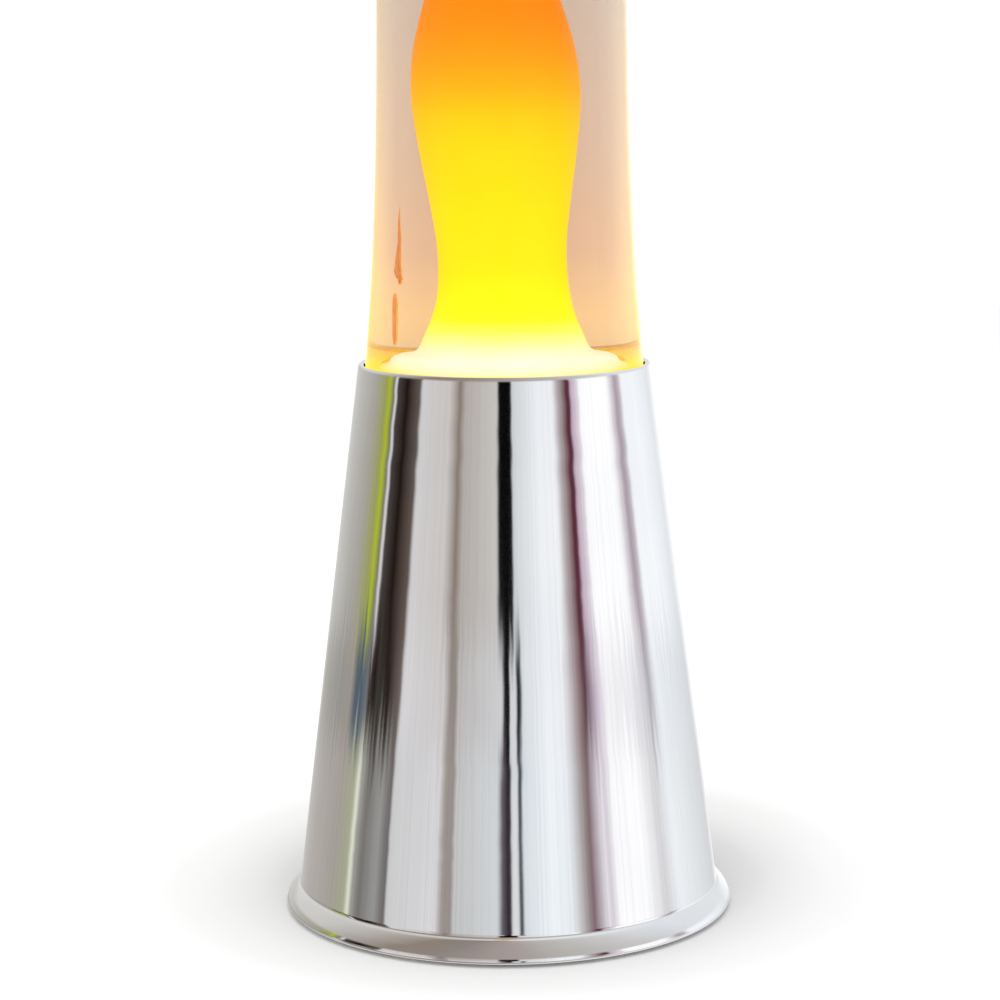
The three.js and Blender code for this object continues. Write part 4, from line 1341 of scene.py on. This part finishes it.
def mirrored_cards(tree):
    """The upright cards and gaps that metal and glass mirror, as in a small photo studio."""
    where = node(tree, "ShaderNodeTexCoord").outputs["Generated"]
    way = node(tree, "ShaderNodeSeparateXYZ", Vector=where).outputs
    turn = maths(tree, "ARCTAN2", way["X"], maths(tree, "MULTIPLY", way["Y"], -1.0))
    degrees = maths(tree, "MULTIPLY", turn, DEGREES)
    lift = maths(tree, "MULTIPLY", maths(tree, "ARCSINE", way["Z"]), DEGREES)
    bend = maths(tree, "SUBTRACT", 1.0, maths(tree, "COSINE", maths(tree, "MULTIPLY", turn, 0.5)))
    level = maths(tree, "ADD", lift, maths(tree, "MULTIPLY", bend, CONE_TILT))
    outwards = spread(tree, maths(tree, "ABSOLUTE", degrees), 0.0, FAN, 60.0, 95.0)
    fan = maths(tree, "MULTIPLY", outwards, spread(tree, level, 1.0, 0.0, -2.0, 7.6))
    degrees = maths(tree, "SUBTRACT", degrees, maths(tree, "MULTIPLY", fan, maths(tree, "SIGN", degrees)))
    degrees = maths(tree, "ADD", degrees, spread(tree, line_noise(tree, level, 2.2), -0.7, 0.7))
    torn = maths(tree, "ADD", level, spread(tree, line_noise(tree, degrees, 0.45), -0.9, 0.9))
    right = maths(tree, "GREATER_THAN", degrees, 0.0)
    lower, middle, upper = (
        blended(tree, right, around_ramp(tree, degrees, left_half), around_ramp(tree, degrees, right_half))
        for left_half, right_half in MIRRORED_BANDS
    )
    cards = blended(tree, spread(tree, torn, 0.0, 1.0, -0.2, 0.7), lower, middle)
    cards = blended(tree, spread(tree, torn, 0.0, 1.0, 1.9, 3.2), cards, upper)
    lines = ramp(tree, line_noise(tree, degrees, 0.8), [(0.3, (0.99, 0.99, 1.0, 1)), (0.6, gray(1.12))])
    cards = multiplied(tree, cards, lines)
    plain = around_ramp(tree, degrees, PLAIN_TONES)
    cards = blended(tree, spread(tree, level, 0.0, 1.0, 13.0, 20.0), cards, plain)
    return blended(tree, spread(tree, level, 1.0, 0.0, -30.0, -16.0), cards, plain)


def studio_world():
    """White all round, other than for mirrored rays; what shines through glass isn't mirrored."""
    world = bpy.data.worlds.new("studio")
    world.use_nodes = True
    tree = world.node_tree
    tree.nodes.clear()
    path = node(tree, "ShaderNodeLightPath").outputs
    glossy_only = maths(tree, "SUBTRACT", path["Is Glossy Ray"], path["Is Transmission Ray"])
    mirrored = maths(tree, "GREATER_THAN", glossy_only, 0.5)
    color = blended(tree, mirrored, gray(WORLD_LEVEL), mirrored_cards(tree))
    background = node(tree, "ShaderNodeBackground", Color=color, Strength=1.0)
    node(tree, "ShaderNodeOutputWorld", Surface=background.outputs["Background"])
    scene.world = world


FLOOR_SHADE = [  # millimetres from the middle of the shade, and the floor's albedo there
    (50, 0.60), (60, 0.645), (65, 0.69), (72, 0.73), (79, 0.765), (88, 0.79), (110, 0.9),
]
SHADE_X = 3
SHADE_Y = 20


def floor_look():
    """White, with the soft shade that lies behind and beside the lamp."""
    look, tree, bsdf = shader("pale_floor")
    place = axes(tree)
    aside = maths(tree, "SUBTRACT", place["X"], SHADE_X * MM)
    behind = maths(tree, "SUBTRACT", place["Y"], SHADE_Y * MM)
    stops = [(distance, gray(albedo)) for distance, albedo in FLOOR_SHADE]
    fill(tree, bsdf, Base_Color=ramp_over(tree, reach(tree, aside, behind), stops, MM), Roughness=0.9)
    return look


def studio_floor():
    """A wide white floor, which metal doesn't mirror and glass doesn't show."""
    floor = rod(1800, -8, 0, sides=128)
    floor.name = "studio_floor"
    floor.data.materials.append(floor_look())
    floor.visible_glossy = False
    floor.visible_transmission = False


AIM_HEIGHT = 0.15


def soft_light(name, place, size, power):
    """A square soft light that points at the lamp."""
    data = bpy.data.lights.new(name, "AREA")
    data.size = size
    data.energy = power
    light = bpy.data.objects.new(name, data)
    light.location = place
    aim = Vector((0, 0, AIM_HEIGHT)) - Vector(place)
    light.rotation_euler = aim.to_track_quat("-Z", "Y").to_euler()
    light.visible_glossy = False
    light.visible_transmission = False
    scene.collection.objects.link(light)


VIEW_DISTANCE = 0.650
VIEW_HEIGHT = RIM_Z * MM + 0.0675
VIEW_PITCH = 8.86  # degrees below level
VIEW_YAW = 0.1146  # degrees to the left
VIEW_ROLL = -0.4636  # degrees
LENS = 97.173


def view_camera():
    data = bpy.data.cameras.new("view")
    data.lens = LENS
    data.sensor_width = 36
    data.clip_start = 0.05
    data.clip_end = 20
    camera = bpy.data.objects.new("view", data)
    turn = Matrix.Rotation(math.radians(VIEW_YAW), 4, "Z")
    tilt = Matrix.Rotation(math.radians(90 - VIEW_PITCH), 4, "X")
    roll = Matrix.Rotation(math.radians(VIEW_ROLL), 4, "Z")
    camera.matrix_world = Matrix.Translation((0, -VIEW_DISTANCE, VIEW_HEIGHT)) @ turn @ tilt @ roll
    scene.collection.objects.link(camera)
    scene.camera = camera


studio_world()
studio_floor()
soft_light("top_light", (-0.1, -0.9, 1.5), 1.2, 12)
view_camera()
scene.view_settings.view_transform = "Standard"
